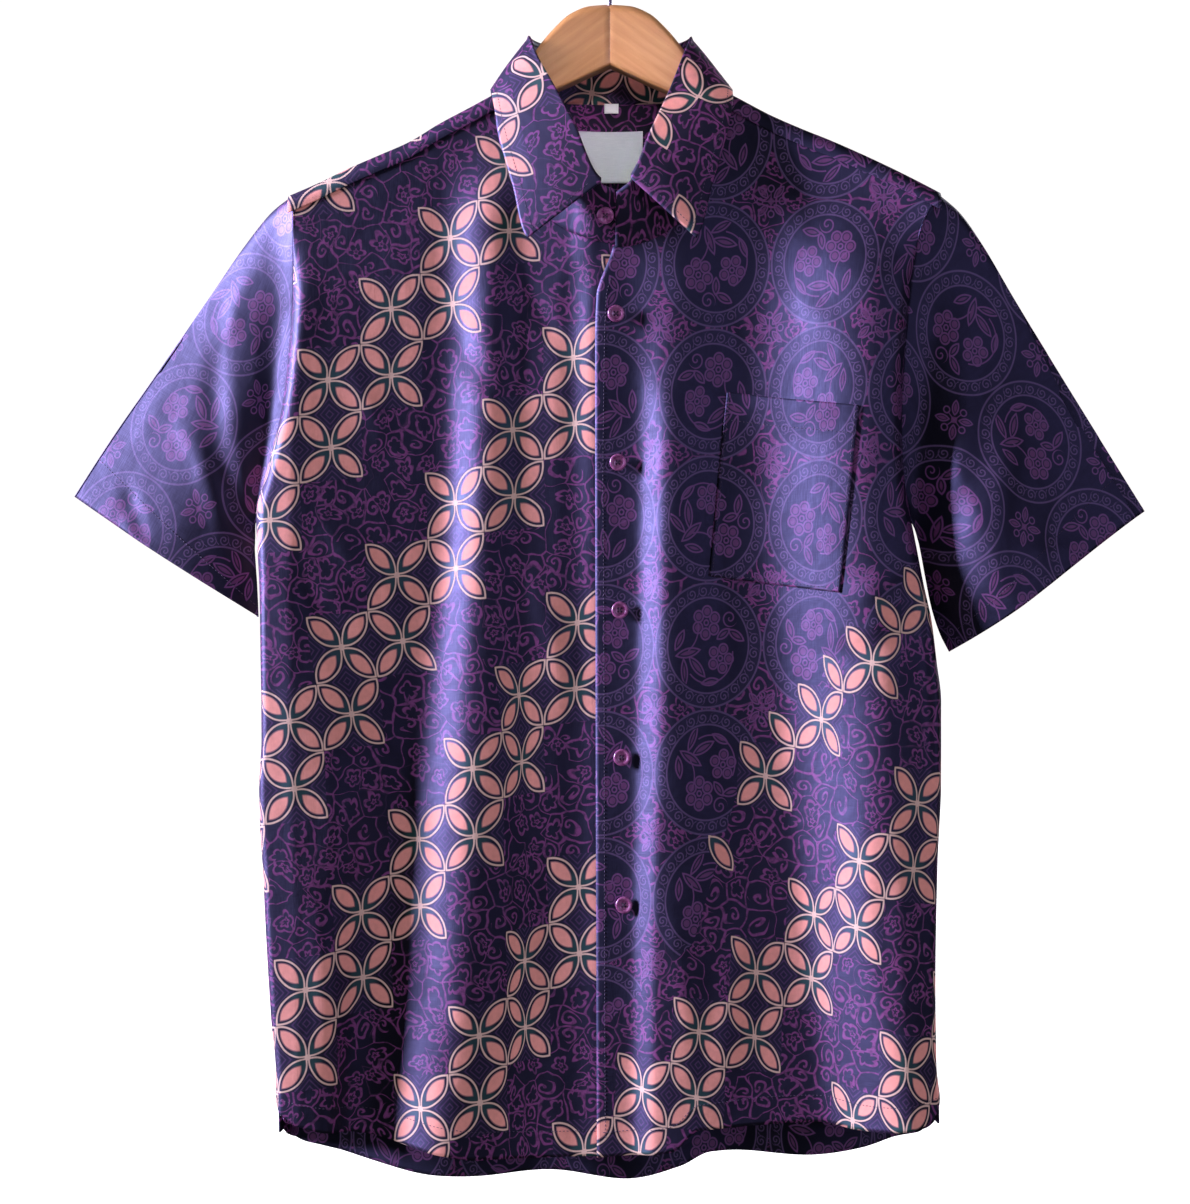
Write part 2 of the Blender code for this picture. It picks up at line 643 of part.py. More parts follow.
def add_sleeve(name, table, loop, finish, flip):
    """A sleeve from the points of its armhole out to the cuff."""
    outwards = -1 if table[0].top[0] < 0 else 1
    highest = max(range(len(loop)), key=lambda k: loop[k].z)
    top, low = loop[highest].z, loop[0].z
    rows = []
    for i in range(SLEEVE_ALONG + 1):
        s = (i / SLEEVE_ALONG) ** 1.25
        sewn = (1 - s) ** 6
        row = []
        for k, point in enumerate(loop):
            down = clamp((top - point.z) / (top - low))
            front = k <= highest
            seam = point + Vector((outwards * SLEEVE_GAP, 0, 0))
            drift = seam - sleeve_shape(table, 0, down, front)
            row.append(sleeve_shape(table, s, down, front) + drift * sewn)
        rows.append(row)
    add_wall(name, rows, CLOTH, finish, ring=True, flip=flip)


# ---------------------------------------------------------------- collar
def collar_curve(name, t):
    places = column(COLLAR, "t")
    return Vector([through(places, [row[k] for row in column(COLLAR, name)], t) for k in range(3)])


def seam_shares(points):
    lengths = [0.0]
    for a, b in zip(points, points[1:]):
        lengths.append(lengths[-1] + (b - a).length)
    return [length / lengths[-1] for length in lengths]


def add_stand(finish):
    seam = neck_seam()
    rows = [[], [], []]
    for point, t in zip(seam, seam_shares(seam)):
        top = collar_curve("top", t)
        start = point + (top - point).normalized() * STAND_OFF_SEAM
        for row, share in zip(rows, (0.0, 0.5, 1.0)):
            row.append(start.lerp(top, share))
    add_wall("collar_stand", rows, COLLAR_CLOTH, finish)


def add_leaf(finish):
    """The leaf folds over the stand's top and lies on the shoulders and fronts."""
    steps = 30
    shares = (0.0, 0.3, 0.65, 1.0)
    rows = [[] for _ in range(len(shares) + 1)]
    for k in range(steps + 1):
        t = mix(LEAF_FROM, LEAF_TO, k / steps)
        top, edge = collar_curve("top", t), collar_curve("edge", t)
        near = 0.006
        ahead = (collar_curve("top", t + near) - collar_curve("top", t - near)).normalized()
        out = ahead.cross((edge - top).normalized()).normalized()
        rows[0].append(top + out * LEAF_FOLD_IN + Vector((0, 0, LEAF_OVER_STAND)))
        start = top + out * LEAF_OFF_STAND
        for row, share in zip(rows[1:], shares):
            row.append(start.lerp(edge, share) + out * LEAF_BULGE * math.sin(math.pi * share))
    add_wall("collar_leaf", rows, COLLAR_CLOTH, finish, flip=True)


# ---------------------------------------------------------------- pocket and labels
POCKET = {"left": 79.0, "right": 166.0, "top": -324.0, "tilt": -11.0, "height": 125.0,
          "lean": -12.0, "mouth": 3.0}


def surface_normal(surface, x, z):
    step = 0.5
    slope_x = (surface(x + step, z) - surface(x - step, z)) / (2 * step)
    slope_z = (surface(x, z + step) - surface(x, z - step)) / (2 * step)
    return Vector((slope_x, -1, slope_z)).normalized()


def on_front(x, z, lift):
    """A point this far off the front's outer face."""
    return Vector((x, front_y(x, z), z)) + surface_normal(front_y, x, z) * lift


def add_pocket(finish):
    """A patch pocket, made from the front's own points moved out. Its mouth gapes."""
    across, down = 8, 7
    rows = []
    for r in range(down + 1):
        v = r / down
        row = []
        for c in range(across + 1):
            u = c / across
            x = mix(POCKET["left"], POCKET["right"], u) + POCKET["lean"] * (1 - v)
            z = POCKET["top"] + POCKET["tilt"] * u - POCKET["height"] * (1 - v)
            gape = POCKET["mouth"] * math.sin(math.pi * clamp(u * 1.15)) * ease((v - 0.72) / 0.28)
            row.append(on_front(x, z, POCKET_LIFT + POCKET_WALL + gape))
        rows.append(row)
    add_wall("chest_pocket", rows, POCKET_WALL, finish)


def add_label(name, middle_x, middle_z, width, height, finish):
    """A woven label on the inside of the yoke, facing forwards."""
    columns, lines = 4, 3
    rows = []
    for r in range(lines + 1):
        row = []
        for c in range(columns + 1):
            x = middle_x + width * (c / columns - 0.5)
            z = middle_z + height * (r / lines - 0.5)
            inside = back_y(x, z) - CLOTH - LABEL_LIFT - LABEL_WALL
            row.append(Vector((x, inside, z)))
        rows.append(row)
    add_wall(name, rows, LABEL_WALL, finish)


# ---------------------------------------------------------------- buttons
def add_button(name, place, normal, finish):
    """A turned button with a raised rim and four holes."""
    outline = ((0.0, 0.0), (0.62, 0.0), (1.0, 0.36), (1.0, 0.72), (0.86, 1.0),
               (0.66, 0.96), (0.52, 0.66), (0.0, 0.6))
    sides = 16

    def build(bm):
        points = [Vector((r * BUTTON_RADIUS, 0, h * BUTTON_HEIGHT)) * MM for r, h in outline]
        verts = [bm.verts.new(point) for point in points]
        edges = [bm.edges.new(pair) for pair in zip(verts, verts[1:])]
        bmesh.ops.spin(bm, geom=verts + edges, cent=(0, 0, 0), axis=(0, 0, 1),
                       angle=2 * math.pi, steps=sides, use_merge=True)
        bmesh.ops.remove_doubles(bm, verts=bm.verts, dist=0.00001)
        bmesh.ops.recalc_face_normals(bm, faces=bm.faces)

    obj = add_object(name, mesh_of(name, build), finish)
    turn = normal.to_track_quat("Z", "Y").to_matrix().to_4x4()
    obj.matrix_world = turn
    obj.location = place * MM
    holes = add_holes(name + "_holes", obj.matrix_world.copy())
    cut = obj.modifiers.new("holes", "BOOLEAN")
    cut.object = holes
    cut.operation = "DIFFERENCE"
    return obj


def add_holes(name, turn):
    """Four thin cutters through a button. A helper, which isn't part of the shirt."""
    spread, radius = 1.5, 0.75

    def build(bm):
        for k in range(4):
            angle = math.pi / 4 + math.pi / 2 * k
            made = bmesh.ops.create_cone(bm, cap_ends=True, segments=6, radius1=radius * MM,
                                         radius2=radius * MM, depth=3 * BUTTON_HEIGHT * MM)
            shift = Vector((math.cos(angle) * spread, math.sin(angle) * spread, 0)) * MM
            bmesh.ops.translate(bm, verts=made["verts"], vec=shift)

    obj = add_object(name, mesh_of(name, build), bpy.data.materials["button"])
    obj.matrix_world = turn
    obj.hide_render = True
    obj.display_type = "WIRE"
    return obj


def add_buttons(finish):
    for k in range(5):
        z = BUTTON_TOP - BUTTON_PITCH * k
        x = BUTTON_X + BUTTON_DRIFT * k
        add_button(f"button_{k + 2}", on_front(x, z, BUTTON_LIFT),
                   surface_normal(front_y, x, z), finish)
    seam = neck_seam()
    shares = seam_shares(seam)
    t = STAND_BUTTON
    low = Vector([through(shares, [p[k] for p in seam], t) for k in range(3)])
    ahead = Vector([through(shares, [p[k] for p in seam], t + 0.01) for k in range(3)]) - low
    high = collar_curve("top", t)
    up = (high - low).normalized()
    normal = up.cross(ahead.normalized())
    if normal.y > 0:
        normal = -normal
    add_button("button_1", low.lerp(high, 0.5) + normal * STAND_BUTTON_LIFT, normal, finish)


# ---------------------------------------------------------------- hanger
def add_hanger(finish):
    """Two wooden arms that meet in the middle and sweep a little forwards."""
    places = column(HANGER, "x")
    stations = [-x for x in places[:0:-1]] + places
    rings = []
    arc = 6
    for x in stations:
        top = through(places, column(HANGER, "top"), abs(x))
        bottom = through(places, column(HANGER, "bottom"), abs(x))
        if abs(x) > NECK_RIGHT:
            top = min(top, ridge_z(x) - CLOTH - WOOD_UNDER_CLOTH)
        middle = hanger_y(x)
        ring = []
        for k in range(arc + 1):
            angle = math.pi * k / arc
            ring.append(Vector((x, middle - HANGER_HALF * math.cos(angle),
                                top - HANGER_HALF * (1 - math.sin(angle)))))
        for side, off, up in ((1, 0, HANGER_EDGE), (1, HANGER_EDGE, 0),
                              (-1, HANGER_EDGE, 0), (-1, 0, HANGER_EDGE)):
            ring.append(Vector((x, middle + side * (HANGER_HALF - off), bottom + up)))
        rings.append(ring)
    add_loft("hanger_wood", rings, finish)


def add_hook(finish):
    """A wire hook: its stem stands on the wood, its bend goes over the rail."""
    centre = Vector((0, 0, HOOK_WIRE - HOOK_BEND))
    points = []
    for k in range(17):
        angle = math.radians(-25 + 245 * k / 16)
        points.append(centre + Vector((math.cos(angle), 0, math.sin(angle))) * HOOK_BEND)
    stem_top = Vector((0, 0, centre.z - HOOK_BEND - 4))
    last = points[-1]
    for share in (0.35, 0.7):
        points.append(last.lerp(stem_top, share) + Vector((0, 0, 1.2 * (1 - share))))
    points += [stem_top, Vector((0, 0, HANGER[0].top + SEAM))]
    curve = bpy.data.curves.new("hanger_hook", "CURVE")
    curve.dimensions = "3D"
    curve.bevel_depth = HOOK_WIRE * MM
    curve.bevel_resolution = 2
    curve.use_fill_caps = True
    spline = curve.splines.new("POLY")
    spline.points.add(len(points) - 1)
    for point, place in zip(spline.points, points):
        point.co = (*(place * MM), 1)
    add_object("hanger_hook", curve, finish)


def main():
    clear_scene()
    batik = material("batik", (0.045, 0.03, 0.11), 0.6)
    plastic = material("button", (0.36, 0.12, 0.32), 0.35)
    woven = material("label", (0.42, 0.43, 0.47), 0.8)
    wood = material("wood", (0.55, 0.3, 0.15), 0.5)
    steel = material("steel", (0.6, 0.6, 0.6), 0.3, 1.0)
    add_body(batik)
    add_stand(batik)
    add_leaf(batik)
    add_pocket(batik)
    add_buttons(plastic)
    add_label("neck_label", -1, -154, 48, 37, woven)
    add_label("size_tab", 1, -118.5, 10, 7, woven)
    add_hanger(wood)
    add_hook(steel)


main()
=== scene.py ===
import ast
import math

import bmesh
import bpy
import numpy as np
from mathutils import Matrix, Vector


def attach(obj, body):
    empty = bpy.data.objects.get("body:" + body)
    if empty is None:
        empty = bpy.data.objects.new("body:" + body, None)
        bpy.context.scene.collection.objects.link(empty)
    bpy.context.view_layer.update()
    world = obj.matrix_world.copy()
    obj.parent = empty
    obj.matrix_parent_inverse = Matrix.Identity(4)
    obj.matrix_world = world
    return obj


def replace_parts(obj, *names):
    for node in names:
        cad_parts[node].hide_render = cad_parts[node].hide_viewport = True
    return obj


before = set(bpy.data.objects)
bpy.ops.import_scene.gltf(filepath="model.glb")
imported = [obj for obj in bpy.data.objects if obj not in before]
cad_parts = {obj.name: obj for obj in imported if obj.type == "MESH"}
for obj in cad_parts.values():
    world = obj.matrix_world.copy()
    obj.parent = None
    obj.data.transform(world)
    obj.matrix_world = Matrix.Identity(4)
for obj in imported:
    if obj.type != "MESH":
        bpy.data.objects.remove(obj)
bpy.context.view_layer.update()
mm = 0.001
print("frame loaded")


# small maths, all on arrays of numbers in millimetres
def mix(a, b, share):
    return a + (b - a) * share


def clip01(value):
    return np.clip(value, 0, 1)


def ease(value):
    value = clip01(value)
    return value * value * (3 - 2 * value)


def arrays(*values):
    return [np.atleast_1d(value).astype(float) for value in values]


def columns(*values):
    return np.stack(values, axis=1)


def runOf(points):
    # the length along a line of points, up to each one
    return np.concatenate([[0], np.cumsum(np.linalg.norm(np.diff(points, axis=0), axis=1))])


def through(keys, values, at):
    # a smooth curve through the values, which rises or falls only where they do
    at = np.atleast_1d(np.asarray(at, float))
    keys, values = (np.asarray(a, float) for a in (keys, values))
    keys = keys.reshape(keys.shape[0], -1)
    values = values.reshape(values.shape[0], -1)
    if keys[0, 0] > keys[-1, 0]:
        keys, values = keys[::-1], values[::-1]
    keys, values, _ = np.broadcast_arrays(keys, values, at[None])
    at = np.clip(at, keys[0], keys[-1])
    steep = np.diff(values, axis=0) / np.diff(keys, axis=0)
    one, two = steep[:-1], steep[1:]
    same = one * two > 0
    bend = np.where(same, 2 * one * two / np.where(same, one + two, 1), 0)
    slope = np.concatenate([steep[:1], bend, steep[-1:]])
    below = np.clip((keys <= at).sum(0) - 1, 0, len(keys) - 2)[None]
    k0, v0, m0 = (np.take_along_axis(a, below, 0)[0] for a in (keys, values, slope))
    k1, v1, m1 = (np.take_along_axis(a, below + 1, 0)[0] for a in (keys, values, slope))
    span = k1 - k0
    s = (at - k0) / span
    return (v0 * (1 + 2 * s) * (1 - s) ** 2 + m0 * span * s * (1 - s) ** 2
            + v1 * s * s * (3 - 2 * s) + m1 * span * s * s * (s - 1))


# the shirt's form: sizes in millimetres, right and left are the wearer's
shirt = {
    "neck": (-76.5, 78.5), "tips": (-217.0, 223.0), "armpit": -408.0,
    "ventTop": -800.0, "ventShift": 9.0, "frontYoke": 13.0, "backYoke": -208.0,
    "ridgeRadius": 11.0, "sideTurn": 14.0, "turnWidth": (9.0, 6.0), "turnNarrows": (-400.0, 90.0),
    "seam": 0.3, "tuck": 1.0,
    "underLap": 32.0, "underGap": 3.0, "underDip": (30.0, 24.0),
    "underNarrows": (-330.0, 104.0), "drape": (16.0, 74.0), "heldOut": (30.0, 52.0),
    "leanAbove": -400.0, "hemLevel": -840.0, "backHemLevel": -850.0, "hangerSweep": 0.11,
    "backNeck": -113.5, "yokeOver": 3.0, "yokeStep": 0.95, "lastRow": (0.9925, 0.0036),
    "rightEnd": (12.0, -224.0), "leftEnd": (3.5, -226.0), "slackEase": 120.0,
}
# a fold line runs down the cloth: its x and its depth at each level
frontLevels = (-175, -260, -385, -535, -690, -850)
frontFolds = (
    ((-204, -206, -214, -214, -210, -208), (29, 38, 42, 43, 43, 42)),   # right side crest
    ((-188, -188, -192, -190, -190, -192), (27, 34, 37, 38, 39, 39)),
    ((-132, -130, -130, -146, -166, -179), (24, 25, 25, 25, 23, 23)),
    ((-114, -112, -113, -128, -151, -166), (22, 22, 22, 21, 19, 19)),   # right hollow
    ((-84, -82, -86, -93, -99, -116), (28, 31, 32, 34, 37, 39)),        # main crest
    ((-58, -56, -56, -56, -64, -78), (25, 25, 25, 26, 28, 30)),         # chest hollow
    ((-30, -29, -28, -28, -28, -28), (26, 26, 24, 23, 23, 24)),
    ((-12, -11, -11, -10, -9, -9), (32, 32, 27, 24, 24, 25)),           # placket edge
    ((18, 17, 17, 15, 14, 14), (30, 29, 24, 22, 22, 23)),               # placket
    ((44, 41, 39, 38, 32, 31), (32, 31, 34, 33, 32, 31)),               # button crest
    ((84, 79, 76, 86, 102, 120), (25, 24, 23, 21, 19, 20)),
    ((104, 99, 97, 111, 127, 146), (22, 21, 21, 19, 16, 17)),           # left hollow
    ((182, 174, 171, 182, 189, 204), (33, 44, 47, 48, 48, 47)),         # left side crest
    ((216, 206, 203, 213, 217, 218), (28, 35, 37, 37, 38, 38)),
)
backLevels = (-112, -190, -300, -430, -620, -850)
backFolds = (
    ((-190, -190, -192, -198, -196, -188), (-3, 0, 12, 22, 28, 30)),
    ((-132, -132, -130, -124, -118, -126), (4, 6, 10, 13, 13, 13)),
    ((-58, -56, -60, -62, -55, -50), (22, 22, 22, 27, 32, 32)),
    ((0, 2, 4, 8, 16, 18), (37, 28, 18, 15, 14, 14)),
    ((60, 58, 62, 70, 82, 86), (22, 22, 22, 26, 31, 31)),
    ((132, 132, 130, 126, 136, 142), (3, 5, 9, 13, 13, 13)),
    ((196, 192, 184, 180, 192, 198), (-3, 0, 12, 20, 27, 29)),
)
# outlines as (height, x): armhole above the armpit, side seam below it
sideRight = ((-192, -217), (-200, -213.5), (-230, -213.5), (-263, -214.6), (-300, -218),
             (-330, -221.5), (-360, -228), (-384, -234.5), (-408, -240.5), (-462, -237.8),
             (-506, -237), (-561, -236.4), (-588, -238), (-616, -237.6), (-643, -235.7),
             (-698, -232.9), (-752, -229.5), (-780, -226.9), (-807, -226.6), (-880, -225))
sideLeft = ((-190, 223), (-206, 213), (-223, 207.5), (-263, 202.4), (-300, 199.5),
            (-330, 198), (-360, 198.5), (-384, 200.3), (-408, 204.5), (-428, 208.4),
            (-455, 213.5), (-479, 218.6), (-506, 222), (-534, 225.2), (-588, 225.2),
            (-616, 224.1), (-643, 222.7), (-725, 221.3), (-780, 222), (-807, 224.7),
            (-880, 226))
armholeDepth = ((-185, -31, -13), (-240, -26, -8), (-300, -23, -3), (-360, -20, -3),
                (-392, -17, -9), (-408, -14, -14), (-900, -14, -14))   # z, front y, back y
ridge = ((-217, -192), (-197.5, -183), (-177.5, -172.7), (-157, -163.2), (-136.5, -153.6),
         (-116, -140.6), (-95.5, -129.1), (-80, -120.2), (-45, -102), (0, -92), (45, -102),
         (82, -119.6), (109, -134.5), (129.5, -144.1), (150, -152.9), (170.5, -162.5),
         (191, -172.7), (211.5, -183.6), (223, -190))
frontHem = ((-227, -814), (-201, -822), (-174, -827), (-140, -833), (-110, -839),
            (-88, -843), (-10, -843), (42, -838), (60, -824), (147, -821), (167, -823.5),
            (203, -820.5), (223, -816))
backHem = ((-227, -828), (-225.6, -829), (-224.5, -837), (-222.5, -842), (-218, -845.5),
           (-203, -849.5), (-161, -859), (-119, -866.6), (-85, -869),
           (-35, -867), (7, -868.8), (49, -861.8), (70, -854), (133, -852), (175, -849),
           (204, -842.4), (219, -839.5), (223, -835), (224.6, -829), (225.4, -823), (227, -822))
placketEdge = ((-190, 5.2), (-206, 5), (-222, 3.2), (-232, 0.6), (-240, -2.6), (-250, -6.6),
               (-259, -9), (-290, -10), (-500, -9.8), (-900, -8.7))
# creases: from x, z to x, z, bow, half width, depth (below 0 is a trough)
frontCreases = (
    (-205, -395, -120, -470, 10, 9, 1.8), (-216, -420, -150, -520, 14, 11, -2.2),
    (-190, -300, -150, -372, -8, 8, 1.2), (-110, -255, -62, -340, 9, 9, -1.6),
    (-60, -242, -22, -300, 6, 7, -1.4), (-180, -560, -160, -700, 9, 12, 1.6),
    (-66, -420, -30, -560, -8, 9, 1.5), (-40, -620, -24, -800, 7, 10, -1.6),
    (-120, -640, -104, -800, 9, 11, -1.5), (-205, -640, -185, -800, -6, 10, 1.6),
    (64, -250, 96, -330, -7, 8, -1.4), (20, -300, 52, -400, -6, 9, 1.2),
    (150, -470, 206, -420, 9, 9, 1.8), (140, -505, 214, -470, 8, 10, -2.0),
    (60, -480, 78, -640, 8, 10, -1.6), (150, -560, 168, -720, -10, 12, 1.6),
    (96, -660, 82, -812, 7, 11, 1.5), (186, -600, 196, -780, 6, 9, -1.8),
    (30, -640, 52, -800, -8, 9, 1.3), (120, -250, 168, -290, 6, 9, 1.2),
)
backCreases = (
    (-200, -400, -120, -455, 9, 10, 2.0), (200, -395, 130, -462, -9, 10, 2.0),
    (-212, -430, -140, -520, 12, 11, -2.0), (205, -430, 150, -505, -10, 11, -2.2),
    (-30, -240, -46, -380, 6, 10, -1.8), (34, -250, 52, -400, -7, 10, -1.6),
    (-100, -520, -84, -760, 9, 13, 1.8), (112, -540, 104, -800, -8, 12, 1.7),
    (-20, -560, -8, -800, 8, 12, -1.6), (40, -470, 58, -700, 9, 11, 1.4),
    (-190, -600, -170, -800, -8, 11, -1.6), (180, -620, 172, -810, 7, 11, -1.6),
    (-160, -250, -120, -320, 7, 9, 1.4), (150, -240, 118, -330, -7, 9, 1.4),
)


def curve(table, at, column=1):
    return through([row[0] for row in table], [row[column] for row in table], at)


def creased(table, x, z):
    total = np.zeros_like(x)
    for ax, az, bx, bz, bow, width, depth in table:
        dx, dz = bx - ax, bz - az
        length = math.hypot(dx, dz)
        u = ((x - ax) * dx + (z - az) * dz) / length**2
        off = ((x - ax) * dz - (z - az) * dx) / length - bow * 4 * u * (1 - u)
        total += depth * np.exp(-(off / width) ** 2) * ease(2.4 * np.minimum(u, 1 - u))
    return total


def folded(levels, folds, x, z):
    places = np.array([through(levels, fold[0], z) for fold in folds])
    depths = np.array([through(levels, fold[1], z) for fold in folds])
    return through(places, depths, x)


def turned(depth, x, z, side, sign):
    # the cloth turns back in a quarter round to its side seam or armhole
    seam = sign * curve(armholeDepth, z, side)
    edge = np.minimum(x - curve(sideRight, z), curve(sideLeft, z) - x)
    level, over = shirt["turnNarrows"]
    inside = clip01(edge / mix(*shirt["turnWidth"], ease((level - z) / over)))
    return seam + (depth - seam) * np.sqrt(np.maximum(0, 1 - (1 - inside) ** 2))


def ridgeAt(x):
    return float(curve(ridge, x)[0])


def belowRidge(x, z):
    return np.maximum(0, curve(ridge, x) - z)


def roll(drop):
    radius = shirt["ridgeRadius"]
    return np.sqrt(np.maximum(0, radius**2 - np.maximum(0, radius - drop) ** 2))


def carried(drop):
    # 1 where the hanger carries the cloth, 0 where it hangs in its folds
    return 1 - ease((drop - shirt["drape"][0]) / shirt["drape"][1])


def frontY(x, z):
    x, z = arrays(x, z)
    depth = folded(frontLevels, frontFolds, x, z) + creased(frontCreases, x, z)
    depth = turned(depth, x, z, 1, -1)
    drop = belowRidge(x, z)
    return -mix(depth, roll(drop) + shirt["hangerSweep"] * abs(x), carried(drop))


def backY(x, z):
    x, z = arrays(x, z)
    depth = folded(backLevels, backFolds, x, z) + creased(backCreases, x, z)
    depth = turned(depth, x, z, 2, 1)
    drop = belowRidge(x, z)
    beside = ease((abs(x) - shirt["heldOut"][0]) / shirt["heldOut"][1])
    return mix(depth, roll(drop) - shirt["hangerSweep"] * abs(x), carried(drop) * beside)


def placketX(z):
    return curve(placketEdge, z)


def underY(x, z):
    # the under front dips behind the upper one before it passes under its edge
    dip = ease((x - placketX(z) + shirt["underDip"][0]) / shirt["underDip"][1])
    return frontY(x, z) + shirt["underGap"] * dip


def underEnd(z):
    start, over = shirt["underNarrows"]
    return mix(placketX(z) + shirt["underLap"], shirt["rightEnd"][0], ease((z - start) / over))


def arcTable(surface, fromX):
    # length of the cloth across each height, so that a print keeps its size in the folds
    stepX, stepZ, spanX, spanZ = 2.0, 12.0, (-246, 232), (-880, -100)
    xs, zs = np.arange(*spanX, stepX), np.arange(*spanZ, stepZ)
    gx, gz = np.meshgrid(xs, zs)
    y = surface(gx.ravel(), gz.ravel()).reshape(gx.shape)
    steps = np.hypot(np.diff(y, axis=1), stepX)
    arc = np.concatenate([np.zeros((len(zs), 1)), np.cumsum(steps, axis=1)], axis=1)
    arc -= arc[:, [int(round((fromX - xs[0]) / stepX))]]

    def across(x, z):
        i = np.clip((x - xs[0]) / stepX, 0, len(xs) - 1.001)
        j = np.clip((z - zs[0]) / stepZ, 0, len(zs) - 1.001)
        i0, j0 = i.astype(int), j.astype(int)
        fi, fj = i - i0, j - j0
        low = mix(arc[j0, i0], arc[j0, i0 + 1], fi)
        return mix(low, mix(arc[j0 + 1, i0], arc[j0 + 1, i0 + 1], fi), fj)
    return across


frontAcross = arcTable(frontY, -10)
backAcross = arcTable(backY, 0)
print("cloth's form worked out")


# building the pieces
def addObject(name, data):
    piece = bpy.data.objects.new(name, data)
    bpy.context.scene.collection.objects.link(piece)
    return piece


def meshOf(name, bm):
    mesh = bpy.data.meshes.new(name)
    bm.to_mesh(mesh)
    bm.free()
    return mesh


def asShown(piece):
    # the piece's mesh with its modifiers or bevel worked in
    graph = bpy.context.evaluated_depsgraph_get()
    return bpy.data.meshes.new_from_object(piece.evaluated_get(graph))


def clothSheet(name, across, down, shape, wall, finish, slot="batik_cloth", flip=False,
               tube=False, cut=None, hem=None):
    # a grid that shape(s, t) puts in place; its wall grows inwards, thicker where hem(s, t) says
    bm = bmesh.new()
    bmesh.ops.create_grid(bm, x_segments=across, y_segments=down, size=0.5)
    mesh = bpy.data.meshes.new(name)
    bm.to_mesh(mesh)
    flat = np.empty(len(mesh.vertices) * 3)
    mesh.vertices.foreach_get("co", flat)
    s, t = flat[0::3] + 0.5, flat[1::3] + 0.5
    points, cloth = shape(s, t)
    bm.clear()
    mesh.vertices.foreach_set("co", (points * mm).ravel())
    corners = np.empty(len(mesh.loops), int)
    mesh.loops.foreach_get("vertex_index", corners)
    mesh.uv_layers.new(name="cloth").data.foreach_set("uv", (cloth[corners] * mm).ravel())
    bm.from_mesh(mesh)
    if cut:
        gone = [f for f in bm.faces
                if cut(*np.mean([(s[v.index], t[v.index]) for v in f.verts], 0))]
        bmesh.ops.delete(bm, geom=gone, context="FACES")
    if tube:
        bmesh.ops.remove_doubles(bm, verts=bm.verts, dist=1e-6)
    if not wall:
        rim = [e for e in bm.edges if e.is_boundary]
        bmesh.ops.holes_fill(bm, edges=rim)
        for edge in rim:
            edge.smooth = False
    if flip:
        bmesh.ops.reverse_faces(bm, faces=bm.faces)
    bm.to_mesh(mesh)
    bm.free()
    mesh.shade_smooth()
    piece = addPiece(name, mesh, finish)
    if not wall:
        return piece
    solid = piece.modifiers.new("wall", "SOLIDIFY")
    solid.thickness, solid.offset, solid.use_quality_normals = wall * mm, -1, True
    if hem:
        # two layers at the hem, one elsewhere
        solid.thickness = 2 * wall * mm
        group = piece.vertex_groups.new(name="hem")
        double = hem(s, t)
        for where, weight in ((~double, 0.5), (double, 0.95)):
            group.add(np.flatnonzero(where).tolist(), weight, "REPLACE")
        solid.vertex_group = "hem"
    return piece


def addPiece(name, mesh, finish):
    piece = addObject(name, mesh)
    mesh.materials.clear()
    mesh.materials.append(finish)
    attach(piece, "root")
    return piece


# shares of a panel's width or length
panel = {"frontTurn": 0.085, "backTurn": 0.04, "neck": 0.54, "yokeFade": 0.03, "ventFade": 2.6,
         "wall": 0.7}


def underYoke(t):
    # how far the last row of a panel steps in, under the yoke
    at, over = shirt["lastRow"]
    return shirt["yokeStep"] * clip01((t - at) / over)


def quarterTurn(share):
    return shirt["sideTurn"] * (1 - np.cos(np.pi / 2 * clip01(share)))


def frontGrid(s, t, side, neckX, tipX, end, endXAt, surface):
    # s runs from the side to the front edge, t from the hem to the shoulder and neck
    turn, neck, sideTurn = panel["frontTurn"], panel["neck"], shirt["sideTurn"]
    toward = 1 if neckX > tipX else -1
    around = clip01((s - neck) / (1 - neck))
    outer = clip01(1 - s / neck)
    quarter = toward * quarterTurn(s / turn)
    shoulder = mix(tipX + toward * sideTurn, neckX, clip01((s - turn) / (neck - turn)))
    neckline = end[0] + (neckX - end[0]) * np.cos(np.pi / 2 * around)
    highX = np.where(s < turn, tipX + quarter, np.where(s < neck, shoulder, neckline))
    neckTop, tipLow = (ridgeAt(x) - shirt["frontYoke"] for x in (neckX, tipX))
    pulled = (float(curve(side, tipLow)[0]) - tipX) * outer
    under = clip01((neck - s) / panel["yokeFade"])
    seamed = curve(ridge, highX + pulled) - shirt["frontYoke"] + shirt["yokeOver"] * under
    top = np.where(s < neck, seamed, mix(neckTop, end[1], np.sin(np.pi / 2 * around)))
    top = top - shirt["seam"] / 2

    def lowX(z):
        start = curve(side, z)
        inner = mix(start + toward * sideTurn, endXAt(z), (s - turn) / (1 - turn))
        return np.where(s < turn, start + quarter, inner)

    hem = curve(frontHem, lowX(np.full_like(s, shirt["hemLevel"])))
    z = mix(hem, top, t)
    lean = ease((z - shirt["leanAbove"]) / (top - shirt["leanAbove"]))
    high = highX + (curve(side, z) - tipX) * outer + (endXAt(z) - end[0]) * around
    x = np.where(s < 1e-6, curve(side, z), mix(lowX(z), high, lean))
    vent = clip01((shirt["ventTop"] - z) / (shirt["ventTop"] - hem))
    x = x + toward * shirt["ventShift"] * vent * clip01(1 - panel["ventFade"] * s)
    return x, z, surface(x, z) + underYoke(t) * under


# from x on, over x, how much is hidden, below z
rightSlack = ((-400, 1, -10, -450), (-76, 28, 14, -450))
leftSlack = ((150, 30, 6, -200),)


def takenUp(u, z, slack):
    # cloth that steep folds hide, so that the print closes up over them
    for at, over, take, below in slack:
        u = u + take * ease((u - at) / over) * ease((below - z) / shirt["slackEase"])
    return u


